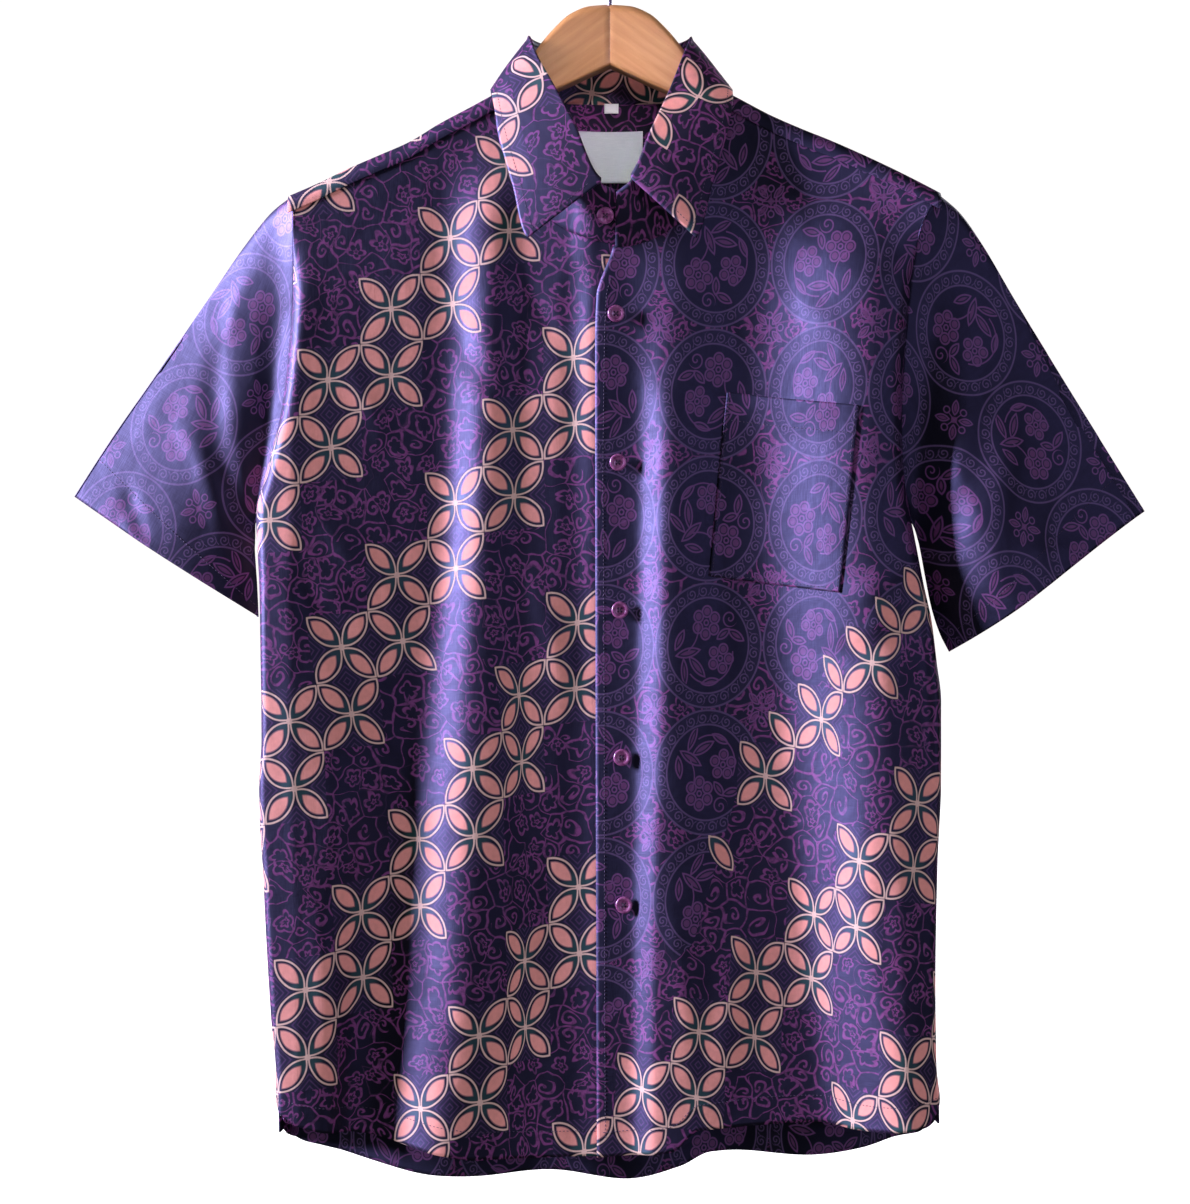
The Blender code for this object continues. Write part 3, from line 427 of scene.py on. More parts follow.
def frontPoints(s, t, side, neckX, tipX, end, endXAt, surface, slack):
    x, z, y = frontGrid(s, t, side, neckX, tipX, end, endXAt, surface)
    cloth = columns(takenUp(frontAcross(x, z), z, slack), z)
    return columns(x, y, z), cloth


def rightFront(s, t):
    return frontPoints(s, t, sideRight, shirt["neck"][0], shirt["tips"][0], shirt["rightEnd"],
                       underEnd, underY, rightSlack)


def leftFront(s, t):
    return frontPoints(s, t, sideLeft, shirt["neck"][1], shirt["tips"][1], shirt["leftEnd"],
                       placketX, frontY, leftSlack)


def backPoints(s, t):
    turn, sideTurn = panel["backTurn"], shirt["sideTurn"]
    low = np.full_like(s, shirt["backHemLevel"])

    def xAt(z):
        left, right = curve(sideRight, z), curve(sideLeft, z)
        quarter = quarterTurn(np.minimum(s, 1 - s) / turn)
        inner = mix(left + sideTurn, right - sideTurn, (s - turn) / (1 - 2 * turn))
        return np.where(s < turn, left + quarter, np.where(s > 1 - turn, right - quarter, inner))

    z = mix(curve(backHem, xAt(low)), shirt["backYoke"] + shirt["yokeOver"], t)
    x = xAt(z)
    return columns(x, backY(x, z) - underYoke(t), z), columns(backAcross(x, z), z)


yokePanel = {"over": 0.3, "neckFrom": 0.34, "neckTo": 0.66, "straight": 0.15, "wrap": 0.2,
             "tipEase": 60.0}


def neckBackZ(x):
    half = np.where(x < 0, shirt["neck"][0], shirt["neck"][1])
    top = ridgeAt(shirt["neck"][0])
    return mix(top, shirt["backNeck"], 1 - (x / half) ** 2)


def yokePoints(s, t):
    # over the ridge from the front seam to the back one; between the neck points the back part
    over, a, b = yokePanel["over"], yokePanel["neckFrom"], yokePanel["neckTo"]
    (tipR, tipL), (neckR, neckL) = shirt["tips"], shirt["neck"]
    middle, half = (neckR + neckL) / 2, (neckL - neckR) / 2
    x = np.where(s < a, mix(tipR, neckR, s / a),
                 np.where(s > b, mix(neckL, tipL, (s - b) / (1 - b)),
                          middle - half * np.cos(np.pi * clip01((s - a) / (b - a)))))
    inner = (s > a + 1e-6) & (s < b - 1e-6)
    top = np.where(inner, neckBackZ(x), curve(ridge, x))
    radius, low = shirt["ridgeRadius"], shirt["backYoke"] + shirt["seam"] / 2
    straight, wrap = yokePanel["straight"], yokePanel["wrap"]
    front = clip01(t / over)
    seamDrop = shirt["frontYoke"] - shirt["seam"] / 2
    bend = np.pi / 2 * (1 - clip01((front - straight) / (1 - straight)))
    frontDrop = np.where(front < straight, mix(seamDrop, radius, front / straight),
                         radius * (1 - np.cos(bend)))
    behind = clip01((t - over) / (1 - over))
    share = clip01(behind / wrap)
    backDrop = radius * np.where(inner, share, 1 - np.cos(np.pi / 2 * share))
    zBack = np.where(behind < wrap, top - backDrop,
                     mix(top - radius, low, (behind - wrap) / (1 - wrap)))
    z = np.where(t < over, top - frontDrop, zBack)
    tip = np.where(x < 0, tipR, tipL)
    follow = np.where(x < 0, curve(sideRight, z), curve(sideLeft, z)) - tip
    x = x + np.where(t < over, 0, follow * clip01(1 - abs(x - tip) / yokePanel["tipEase"]))
    y = np.where(t < over, frontY(x, z), backY(x, z))
    return columns(x, y, z), columns(x, z)


# sleeves: share of the way to the cuff, upper fold x and z, underarm x and z, then how far
# front and back stand from the middle, its y, and where the crest lies from fold to underarm
sleeveRight = ((0.00, -217, -192, -241.5, -408, 10, 10, -14, 0.50),
               (0.08, -229.5, -200.5, -244.2, -415, 6, 18, -13, 0.50),
               (0.18, -248.5, -222, -244, -424, 10, 24, -11, 0.50),
               (0.35, -274, -257.5, -243.2, -437, 14, 27, -9, 0.50),
               (0.60, -311, -310.5, -242, -455, 14.5, 28, -8, 0.50),
               (0.82, -341.5, -354.3, -241.4, -467, 14.5, 28, -8, 0.50),
               (1.00, -367.5, -394.5, -241, -477, 14.5, 27, -8, 0.50))
sleeveLeft = ((0.00, 223, -190, 205.5, -408, 10, 10, -14, 0.50),
              (0.08, 238, -201.5, 210.0, -418, 8, 18, -13, 0.55),
              (0.18, 253.5, -221, 212.6, -430, 15, 24, -11, 0.60),
              (0.35, 277, -259, 216.0, -449, 27, 27, -9, 0.64),
              (0.60, 311, -314.5, 220.5, -471, 34, 28, -8, 0.66),
              (0.82, 341, -363, 226.0, -488, 33, 28, -8, 0.68),
              (1.00, 366.8, -404.5, 232.5, -501, 31, 27, -8, 0.68))
rightSleeveCreases = (
    (-262, -262, -250, -420, 12, 9, -2.4), (-300, -330, -262, -440, -8, 8, 1.8),
    (-330, -400, -300, -452, 6, 6, 1.6), (-340, -372, -318, -440, -5, 6, -1.4),
    (-238, -230, -262, -300, 5, 7, 1.6), (-285, -300, -325, -362, 6, 8, 1.3),
)
leftSleeveCreases = (
    (246, -262, 236, -420, -10, 9, -2.2), (284, -320, 262, -470, 9, 9, 2.0),
    (318, -372, 300, -450, 6, 7, -1.5), (240, -232, 266, -300, 5, 7, 1.5),
    (300, -306, 336, -370, -6, 8, 1.3), (268, -430, 330, -420, 8, 8, 1.2),
)


sleeve = {"swell": 1.6, "sewn": 6, "creasesFade": 1.6, "ridgeGap": 0.2}


def sleevePoints(s, t, table, side, creases, axis):
    # s runs from the armhole to the cuff; t starts at the underarm, goes up the front and over
    topX, topZ, lowX, lowZ, front, back, middleY, crest = (
        curve(table, s, k) for k in range(1, 9))
    down = (1 - np.cos(np.pi * abs(1 - 2 * t))) / 2
    ahead = t < 0.5
    swell = 1 - abs(1 - 2 * down ** (np.log(0.5) / np.log(crest))) ** sleeve["swell"]
    x, z = mix(topX, lowX, down), mix(topZ, lowZ, down)
    y = middleY + np.where(ahead, -front, back) * swell
    # the first part follows the armhole's own edge
    _, foldX, foldZ, armX, armZ, ahead0, back0, middle0, _ = table[0]
    outward = np.sign(foldX)
    holeZ = mix(foldZ - sleeve["ridgeGap"], armZ, down)
    edge = curve(side, holeZ)
    holeY = np.where(ahead, frontY(edge, holeZ), backY(edge, holeZ))
    swell0 = 1 - abs(1 - 2 * down) ** sleeve["swell"]
    sewn = (1 - s) ** sleeve["sewn"]
    x = x + (edge - outward * shirt["tuck"] - mix(foldX, armX, down)) * sewn
    z = z + (holeZ - mix(foldZ, armZ, down)) * sewn
    y = y + (holeY - (middle0 + np.where(ahead, -ahead0, back0) * swell0)) * sewn
    shown = clip01(swell * sleeve["creasesFade"]) * (1 - sewn)
    y = y + np.where(ahead, -1, 1) * creased(creases, x, z) * shown
    # cloth coordinates: along the sleeve's grain, and round it from the upper fold
    ax, az = axis
    along, perp = x * ax + z * az, x * -az + z * ax
    count = int(round(len(s) / len(np.unique(np.round(s, 6)))))
    order = np.lexsort((t, np.round(s, 6)))
    grid = order.reshape(-1, count)
    steps = np.hypot(np.diff(perp[grid], axis=1), np.diff(y[grid], axis=1))
    arc = np.concatenate([np.zeros((len(grid), 1)), np.cumsum(steps, axis=1)], axis=1)
    fold = count // 2
    round_ = np.empty_like(s)
    round_[grid] = perp[grid][:, [fold]] + outward * (arc - arc[:, [fold]])
    return columns(x, y, z), columns(along, round_)


# the collar from the wearer's right front end round the back to the left one: share of the
# neck seam, the stand's upper edge, the leaf's outer edge
collar = (
    (0.000, (12, -41, -193), (-38, -50, -226)), (0.050, (-6, -47, -187), (-54.5, -50, -224)),
    (0.130, (-24.5, -42, -147), (-65, -43, -188)), (0.215, (-39.5, -32, -118), (-74, -35, -154)),
    (0.280, (-49.5, -22, -98), (-79.5, -23, -124)), (0.320, (-53, -10, -85), (-81, -7, -116.5)),
    (0.350, (-54, 3, -80.5), (-81, 9, -117.5)), (0.410, (-42, 26, -80), (-61, 33, -123)),
    (0.508, (0, 39, -80), (0, 49, -126)), (0.605, (42, 26, -80), (63, 33, -123)),
    (0.665, (54, 3, -81), (83, 9, -117)), (0.700, (53, -10, -87), (83, -7, -116.5)),
    (0.740, (48.5, -22, -101), (83, -24, -125)), (0.795, (39, -33, -127), (79, -34, -150)),
    (0.880, (27, -43, -154), (69, -42, -184)), (0.972, (14, -50, -185), (57.5, -51, -224.5)),
    (1.000, (4, -47, -193), (48, -51, -230)),
)
collarFit = {"below": 2.0, "inside": 0.6, "standHeight": 34.0, "leafFrom": 0.05, "leafTo": 0.972,
             "middle": 0.508, "overStand": 3.5, "foldIn": -0.3, "offStand": 4.0, "edgeOff": 0.4,
             "bulge": 1.5, "foldShare": 0.1, "wall": 1.0}


def collarLine(part, t):
    return columns(*(curve([(row[0], row[part][k]) for row in collar], t) for k in range(3)))


def neckSeam():
    # points along the neck seam, from the wearer's right front end to the left one
    half = 20
    steps = np.linspace(0, 1, 2 * half)
    (neckR, neckL), drop = shirt["neck"], shirt["frontYoke"]

    def front(neckX, end, surface):
        x = end[0] + (neckX - end[0]) * np.cos(np.pi / 2 * steps)
        z = mix(ridgeAt(neckX) - drop, end[1], np.sin(np.pi / 2 * steps))
        return columns(x, surface(x, z), z)

    def overRidge(neckX):
        down = drop * (1 - steps[:half] / steps[half - 1]) ** 2
        z = ridgeAt(neckX) - down
        x = np.full_like(z, neckX)
        return columns(x, frontY(x, z), z)

    x = (neckR + neckL) / 2 - (neckL - neckR) / 2 * np.cos(np.pi * steps)
    z = neckBackZ(x)
    back = columns(x, backY(x, z), z)
    right, left = front(neckR, shirt["rightEnd"], underY), front(neckL, shirt["leftEnd"], frontY)
    whole = np.concatenate([right[::-1], overRidge(neckR)[1:], back[1:-1],
                            overRidge(neckL)[::-1][:-1], left])
    return whole, runOf(whole)


seamPoints, seamLengths = neckSeam()
neckLength = float(seamLengths[-1])


def readAlong(values, lengths, at):
    return columns(*(np.interp(at, lengths, values[:, k]) for k in range(3)))


def onSeam(t):
    return readAlong(seamPoints, seamLengths, t * neckLength)


def unit(vectors):
    return vectors / np.linalg.norm(vectors, axis=1, keepdims=True)


def standPoints(s, t):
    low, top = onSeam(s), collarLine(1, s)
    rise = unit(top - low)
    inwards = np.cross(rise, unit(onSeam(s + 0.004) - onSeam(s - 0.004)))
    inwards = unit(-inwards * np.sign((inwards * low)[:, :2].sum(1))[:, None])
    start = low - rise * collarFit["below"] + inwards * collarFit["inside"]
    return mix(start, top, t[:, None]), columns(s * neckLength, t * collarFit["standHeight"])


def leafShape(at, t):
    # t runs from inside the stand's top, over it and down to the outer edge
    top, edge = collarLine(1, at), collarLine(2, at)
    ahead = unit(collarLine(1, at + 0.006) - collarLine(1, at - 0.006))
    out = unit(np.cross(ahead, unit(edge - top)))
    fold = collarFit["foldShare"]
    share = clip01((t - fold) / (1 - fold))[:, None]
    start = top + out * collarFit["offStand"]
    face = mix(start, edge + out * collarFit["offStand"] * collarFit["edgeOff"], share)
    face = face + out * collarFit["bulge"] * np.sin(np.pi * share)
    angle = np.pi * clip01(t / fold)[:, None]
    half = (collarFit["offStand"] - collarFit["foldIn"]) / 2
    middle = top + out * (collarFit["foldIn"] + half)
    bend = middle - out * half * np.cos(angle)
    bend = bend + np.array([0, 0, collarFit["overStand"]]) * np.sin(angle)
    return np.where(t[:, None] < fold, bend, face)


# where each half of the leaf turns back round the neck, which way its cloth runs on from there,
# and how far its print is turned about a point and shifted
leafHalves = {-1: {"turnsAt": 0.285, "onward": (-0.655, 0.756), "degrees": 0, "about": (0, 0),
                   "shift": (0, 0)},
              1: {"turnsAt": 0.715, "onward": (0.65, 0.76), "degrees": 44, "about": (59.7, -127),
                  "shift": (311.4, 119.1)}}


def leafPoints(s, t):
    at = mix(collarFit["leafFrom"], collarFit["leafTo"], s)
    points = leafShape(at, t)
    cloth = np.zeros((len(s), 2))
    for side, half in leafHalves.items():
        here = (at < collarFit["middle"]) == (side < 0)
        behind = (at > half["turnsAt"]) if side < 0 else (at < half["turnsAt"])
        held = leafShape(np.where(behind, half["turnsAt"], at), t)
        beyond = np.where(behind, abs(at - half["turnsAt"]), 0) * neckLength
        onward, about, shift = (np.array(half[key]) for key in ("onward", "about", "shift"))
        x, y = (held[:, [0, 2]] + beyond[:, None] * onward - about).T
        turn = math.radians(half["degrees"])
        c, sn = math.cos(turn), math.sin(turn)
        flat = columns(x * c - y * sn, x * sn + y * c)
        cloth = np.where(here[:, None], flat + about + shift, cloth)
    return points, cloth


pocket = {"left": 79.0, "right": 166.0, "top": -324.0, "tilt": -11.0, "height": 125.0,
          "lean": -12.0, "mouth": 3.0, "lift": 1.2, "gape": (1.15, 0.72),
          "printShift": (-3.0, 4.0)}


def surfaceNormal(surface, x, z):
    step = 0.5
    slopeX = (surface(x + step, z) - surface(x - step, z)) / (2 * step)
    slopeZ = (surface(x, z + step) - surface(x, z - step)) / (2 * step)
    return unit(columns(slopeX, -np.ones_like(slopeX), slopeZ))


def onFront(x, z, lift, surface=frontY):
    x, z = arrays(x, z)
    return columns(x, surface(x, z), z) + surfaceNormal(surface, x, z) * np.reshape(lift, (-1, 1))


def pocketPlace(u, v):
    x = mix(pocket["left"], pocket["right"], u) + pocket["lean"] * (1 - v)
    z = pocket["top"] + pocket["tilt"] * u - pocket["height"] * (1 - v)
    return x, z


def pocketLift(u, v):
    wide, gapesFrom = pocket["gape"]
    gape = pocket["mouth"] * np.sin(np.pi * clip01(u * wide))
    gape = gape * ease((v - gapesFrom) / (1 - gapesFrom))
    return pocket["lift"] + gape


def pocketPoints(u, v):
    x, z = pocketPlace(u, v)
    across, up = pocket["printShift"]
    cloth = columns(takenUp(frontAcross(x, z), z, leftSlack) + across, z + up)
    return onFront(x, z, pocketLift(u, v)), cloth


# labels, buttons and hanger
labels = {"neck": (-1, -154, 48, 37), "size": (1, -118.5, 10, 7), "lift": 1.6, "belly": 0.5,
          "wall": 0.5}


def labelPoints(place):
    middleX, middleZ, width, height = place

    def points(s, t):
        x, z = middleX + width * (s - 0.5), middleZ + height * (t - 0.5)
        y = backY(x, z) - labels["lift"] - labels["belly"] * np.sin(np.pi * s) * (1 - t)
        return columns(x, y, z), columns(x, z)
    return points


button = {
    "radius": 5.75, "height": 2.6, "well": 0.6, "holeAt": 1.5, "hole": 0.72,
    "first": (3.6, -272.0), "drift": 1.4, "pitch": 100.0, "lift": 1.2, "standAt": 0.035,
    "standLift": 2.4,
    # half its profile, in shares of the radius and the height: back, rim and well
    "profile": ((0.0, 0.0), (0.6, 0.0), (0.86, 0.1), (1.0, 0.38), (1.0, 0.7), (0.95, 0.92),
                (0.86, 1.0), (0.74, 0.97), (0.64, 0.84), (0.56, 0.68), (0.46, 0.6), (0.0, 0.58)),
}
holeWays = [Vector((math.cos(angle), math.sin(angle), 0))
            for angle in (math.pi / 4 + math.pi / 2 * k for k in range(4))]


def addButton(name, place, normal, finish):
    # a turned disc with a raised rim, its four holes cut through
    bm = bmesh.new()
    verts = [bm.verts.new((r * button["radius"], 0, h * button["height"]))
             for r, h in button["profile"]]
    edges = [bm.edges.new(pair) for pair in zip(verts, verts[1:])]
    bmesh.ops.spin(bm, geom=verts + edges, cent=(0, 0, 0), axis=(0, 0, 1), angle=2 * math.pi,
                   steps=48, use_merge=True)
    bmesh.ops.remove_doubles(bm, verts=bm.verts, dist=0.001)
    bmesh.ops.recalc_face_normals(bm, faces=bm.faces)
    facing = Vector(normal).to_track_quat("Z", "Y").to_matrix().to_4x4()
    turn = Matrix.Translation(Vector(place) * mm) @ facing @ Matrix.Scale(mm, 4)
    bmesh.ops.transform(bm, matrix=turn, verts=bm.verts)
    mesh = meshOf(name, bm)
    holes = bmesh.new()
    for way in holeWays:
        bmesh.ops.create_cone(holes, cap_ends=True, segments=16, radius1=button["hole"],
                              radius2=button["hole"], depth=12,
                              matrix=turn @ Matrix.Translation(way * button["holeAt"]))
    piece = addPiece(name, mesh, finish)
    cutter = addObject(name + "_holes", meshOf(name + "_holes", holes))
    cut = piece.modifiers.new("holes", "BOOLEAN")
    cut.operation, cut.solver, cut.object = "DIFFERENCE", "EXACT", cutter
    whole = asShown(piece)
    piece.modifiers.clear()
    piece.data = whole
    bpy.data.objects.remove(cutter)
    whole.shade_smooth()
    return piece


hanger = {
    # half-sections outwards from the middle: x, upper edge, lower edge
    "wood": ((0, -55, -98), (14, -56.5, -104.5), (27, -62, -111), (38, -72, -116),
             (48, -84, -120.5), (62, -104, -127), (80, -123, -138), (110, -134, -153),
             (145, -150, -169), (180, -172.5, -190), (206, -188.5, -203)),
    "half": 7.4, "edge": 2.4, "underCloth": 2.0, "wire": 1.8, "bend": 19.0, "mitre": 0.02,
    "groove": (0.05, 0.015), "tip": (0.985, 0.75), "hookFrom": -25, "hookTurn": 245,
    "hookSteps": 24, "stemDrop": 4.0, "stemSway": 1.2,
    # shares of the way round its section: where the round top ends, the corner behind starts,
    # the underside's middle, where the corner in front starts and ends; a corner's and a side's
    "section": (0.5, 0.55, 0.775, 0.8, 0.95), "spans": (0.15, 0.05),
}


def armPoints(outward):
    # one arm of the hanger: s runs outwards, t round its section
    half, edge, wood = hanger["half"], hanger["edge"], hanger["wood"]

    def points(s, t):
        away = clip01(s) * wood[-1][0]
        top, low = curve(wood, away, 1), curve(wood, away, 2)
        x = outward * away
        hidden = away > abs(shirt["neck"][0])
        under = curve(ridge, x) - panel["wall"] - hanger["underCloth"]
        top = np.where(hidden, np.minimum(top, under), top)
        # section: a round upper edge, straight sides, eased lower corners
        roundTo, backFrom, middleAt, frontFrom, frontTo = hanger["section"]
        corner, side = hanger["spans"]
        upper, lower = top - half, low + edge
        angle = np.pi * clip01(t / roundTo)
        y = np.where(t < roundTo, -half * np.cos(angle), 0)
        z = np.where(t < roundTo, top - half * (1 - np.sin(angle)), 0)
        turn = clip01((t - backFrom) / corner) * np.pi / 2
        y = np.where((t >= roundTo) & (t < middleAt), half - edge * (1 - np.cos(turn)), y)
        z = np.where((t >= roundTo) & (t < backFrom), mix(upper, lower, (t - roundTo) / side), z)
        z = np.where((t >= backFrom) & (t < middleAt), low + edge * (1 - np.sin(turn)), z)
        turn = (1 - clip01((t - frontFrom) / corner)) * np.pi / 2
        y = np.where(t >= middleAt, -half + edge * (1 - np.cos(turn)), y)
        z = np.where((t >= middleAt) & (t < frontTo), low + edge * (1 - np.sin(turn)), z)
        z = np.where(t >= frontTo, mix(lower, upper, (t - frontTo) / side), z)
        tipAt, narrowed = hanger["tip"]
        tip = clip01((s - tipAt) / (1 - tipAt))
        y = y * np.sqrt(1 - narrowed * tip**2)
        # a fine groove where the two arms are glued
        joint = np.where(s < 1e-6, 1, 0)
        deep, tall = hanger["groove"]
        y, z = y * (1 - deep * joint), mix(z, (top + low) / 2, tall * joint)
        x = x + outward * hanger["mitre"]
        sweep = -shirt["hangerSweep"] * away
        return columns(x, y + sweep, z), columns(away, z + y)
    return points


def hookCentreLine():
    bend, drop, steps = hanger["bend"], hanger["stemDrop"], hanger["hookSteps"]
    centre = Vector((0, 0, hanger["wire"] - bend))
    points = []
    for k in range(steps + 1):
        angle = math.radians(hanger["hookFrom"] + hanger["hookTurn"] * k / steps)
        points.append(centre + Vector((math.cos(angle), 0, math.sin(angle))) * bend)
    stemTop = Vector((0, 0, centre.z - bend - drop))
    last = points[-1]
    for share in (0.35, 0.7):
        sway = Vector((0, 0, hanger["stemSway"] * (1 - share)))
        points.append(last.lerp(stemTop, share) + sway)
    return points + [stemTop, Vector((0, 0, hanger["wood"][0][1] - drop))]


def addHook(name, finish):
    line = bpy.data.curves.new(name, "CURVE")
    line.dimensions, line.bevel_depth, line.bevel_resolution = "3D", hanger["wire"] * mm, 5
    line.use_fill_caps = True
    points = hookCentreLine()
    spline = line.splines.new("NURBS")
    spline.points.add(len(points) - 1)
    for point, place in zip(spline.points, points):
        point.co = (*(place * mm), 1)
    spline.order_u, spline.use_endpoint_u, spline.resolution_u = 3, True, 6
    wire = addObject(name, line)
    mesh = asShown(wire)
    bpy.data.objects.remove(wire)
    return addPiece(name, mesh, finish)


# stitches: the distance from one to the next, then each one's length, width and height
stitch = {"pitch": 2.6, "form": (1.8, 0.5, 0.42), "proud": 0.1, "near": 0.8,
          "uneven": (0.08, 2.4), "knot": (3.9, 0.75, 0.8), "overWell": (0.15, 0.2),
          "shank": 4.2, "shankAt": 0.2, "step": 0.001}


def stitchForm():
    bm = bmesh.new()
    bmesh.ops.create_icosphere(bm, subdivisions=1, radius=0.5)
    corners = np.array([v.co[:] for v in bm.verts])
    faces = np.array([[v.index for v in f.verts] for f in bm.faces])
    bm.free()
    return corners, faces


def stitchRow(shape, path, out=None):
    # stitches along a path of (s, t) on a piece; out is the side that they show on
    path = np.array(path, float)
    steps = np.linspace(0, len(path) - 1, 60 * (len(path) - 1) + 1)
    s, t = (np.interp(steps, np.arange(len(path)), path[:, k]) for k in (0, 1))

    def at(ds, dt):
        return shape(clip01(s + ds), clip01(t + dt))[0]

    line = at(0, 0)
    step = stitch["step"]
    normal = unit(np.cross(at(step, 0) - at(-step, 0), at(0, step) - at(0, -step)))
    outwards = line * (1, 1, 0) if out is None else np.array([out] * len(line))
    normal = normal * np.sign((normal * outwards).sum(1))[:, None]
    run = runOf(line)
    count = int(run[-1] / stitch["pitch"])
    marks = (np.arange(count) + 0.5) * run[-1] / count

    up = unit(readAlong(normal, run, marks))
    near = stitch["near"]
    ahead = unit(readAlong(line, run, marks + near) - readAlong(line, run, marks - near))
    length, width, height = stitch["form"]
    much, often = stitch["uneven"]
    uneven = 1 + much * np.sin(often * np.arange(count))[:, None]
    bars = columns(ahead * length * uneven, np.cross(up, ahead) * width, up * height)
    return readAlong(line, run, marks) + up * stitch["proud"], bars


def addStitching(name, rows, finish):
    corners, faces = stitchForm()
    places, bars = (np.concatenate([row[k] for row in rows]) for k in (0, 1))
    points = (np.einsum("ck,nkj->ncj", corners, bars) + places[:, None]).reshape(-1, 3)
    tris = (faces[None] + len(corners) * np.arange(len(places))[:, None, None]).reshape(-1, 3)
    mesh = bpy.data.meshes.new(name)
    mesh.from_pydata((points * mm).tolist(), [], tris.tolist())
    mesh.shade_smooth()
    return addPiece(name, mesh, finish)


def buttonKnot(place, normal):
    # two crossed strands over the button and four down through its holes
    turn = Vector(normal).to_track_quat("Z", "Y").to_matrix()
    normal, (length, width, height) = np.array(normal), stitch["knot"]
    well, (over, rise) = button["height"] * button["well"], stitch["overWell"]
    places, bars = [], []
    for k, way in enumerate(holeWays):
        across = np.array(turn @ way)
        beside = np.cross(normal, across)
        if k < 2:
            places.append(place + normal * (well + over + rise * k))
            bars.append((across * length, beside * width, normal * height))
        places.append(place + across * button["holeAt"] + normal * stitch["shankAt"])
        bars.append((normal * stitch["shank"], across * width, beside * width))
    return np.array(places), np.array(bars)


# camera, light and floor
# lens and film in mm, and the view's shift in shares of the frame's taller side
view = {"lens": 60.67, "film": 36, "shift": (-15 / 1204, -24.5 / 1204), "eye": (0, -1.4, -0.45)}


def addCamera():
    data = bpy.data.cameras.new("camera")
    data.lens, data.sensor_width = view["lens"], view["film"]
    data.shift_x, data.shift_y = view["shift"]
    data.clip_end = 60
    eye = addObject("camera", data)
    eye.location, eye.rotation_euler = view["eye"], (math.pi / 2, 0, 0)
    bpy.context.scene.camera = eye


def addLamp(name, place, towards, size, power, colour, diffuse=True, glossy=True, spread=180):
    data = bpy.data.lights.new(name, "AREA")
    data.shape, data.size, data.size_y = "RECTANGLE", size[0], size[1]
    data.energy, data.color, data.spread = power, colour, math.radians(spread)
    lamp = addObject(name, data)
    lamp.location = place
    aim = Vector(towards) - Vector(place)
    lamp.rotation_euler = aim.to_track_quat("-Z", "Y").to_euler()
    lamp.visible_diffuse, lamp.visible_glossy = diffuse, glossy


addCamera()
# a window to the left, low over the cloth, so that each fold throws its shadow on the next
windowAt, windowSize, middle = (-2.9, -0.68, 0.3), (0.45, 0.9), (0, 0, -0.45)
addLamp("window", windowAt, middle, windowSize, 180, (1.0, 0.95, 0.98))
addLamp("sky", windowAt, middle, windowSize, 760, (0.55, 0.46, 1.0), diffuse=False)
# a faint sheen from the front right, so that the cloth in shade isn't black
addLamp("fill", (1.7, -1.9, -0.1), (0.1, 0, -0.45), (1.0, 1.0), 20, (0.62, 0.5, 1.0),
        diffuse=False)
addLamp("neck_light", (0, -1.1, 0.12), (0, 0.02, -0.135), (0.08, 0.08), 0.026, (1.0, 0.95, 0.93),
        glossy=False, spread=10)
addLamp("back_light", (2.4, 2.5, 0.8), (0, 0.05, -0.45), (0.8, 1.0), 60, (0.9, 0.92, 1.0))
world = bpy.data.worlds.new("studio")
bpy.context.scene.world = world
world.use_nodes = True
print("camera and light set")


# materials
def linear(hexColour):
    parts = [int(hexColour[k:k + 2], 16) / 255 for k in (1, 3, 5)]
    return tuple(c / 12.92 if c <= 0.04045 else ((c + 0.055) / 1.055) ** 2.4 for c in parts) + (1,)


def feed(tree, node, inputs):
    # links a socket to each named input, or sets a fixed value there
    for key, value in inputs.items():
        if isinstance(value, bpy.types.NodeSocket):
            tree.links.new(value, node.inputs[key])
        else:
            node.inputs[key].default_value = value


def addNode(tree, kind, inputs=None, **settings):
    node = tree.nodes.new(kind)
    for key, value in settings.items():
        setattr(node, key, value)
    feed(tree, node, inputs or {})
    return node


def newFinish(name):
    material = bpy.data.materials.new(name)
    material.use_nodes = True
    tree = material.node_tree
    return material, tree, tree.nodes["Principled BSDF"]


def ownPlace(tree):
    # the piece's own coordinates, in mm
    place = addNode(tree, "ShaderNodeTexCoord").outputs["Object"]
    scaled = addNode(tree, "ShaderNodeMapping", {"Vector": place, "Scale": (1000, 1000, 1000)})
    return scaled.outputs[0]


mathSteps = {
    "Add": "ADD", "Sub": "SUBTRACT", "Mult": "MULTIPLY", "Div": "DIVIDE",
    "sin": "SINE", "cos": "COSINE", "floor": "FLOOR", "frac": "FRACT", "sqrt": "SQRT",
    "sign": "SIGN", "low": "MINIMUM", "high": "MAXIMUM", "wrap": "FLOORED_MODULO",
    "angle": "ARCTAN2", "under": "LESS_THAN", "over": "GREATER_THAN", "size": "ABSOLUTE",
}


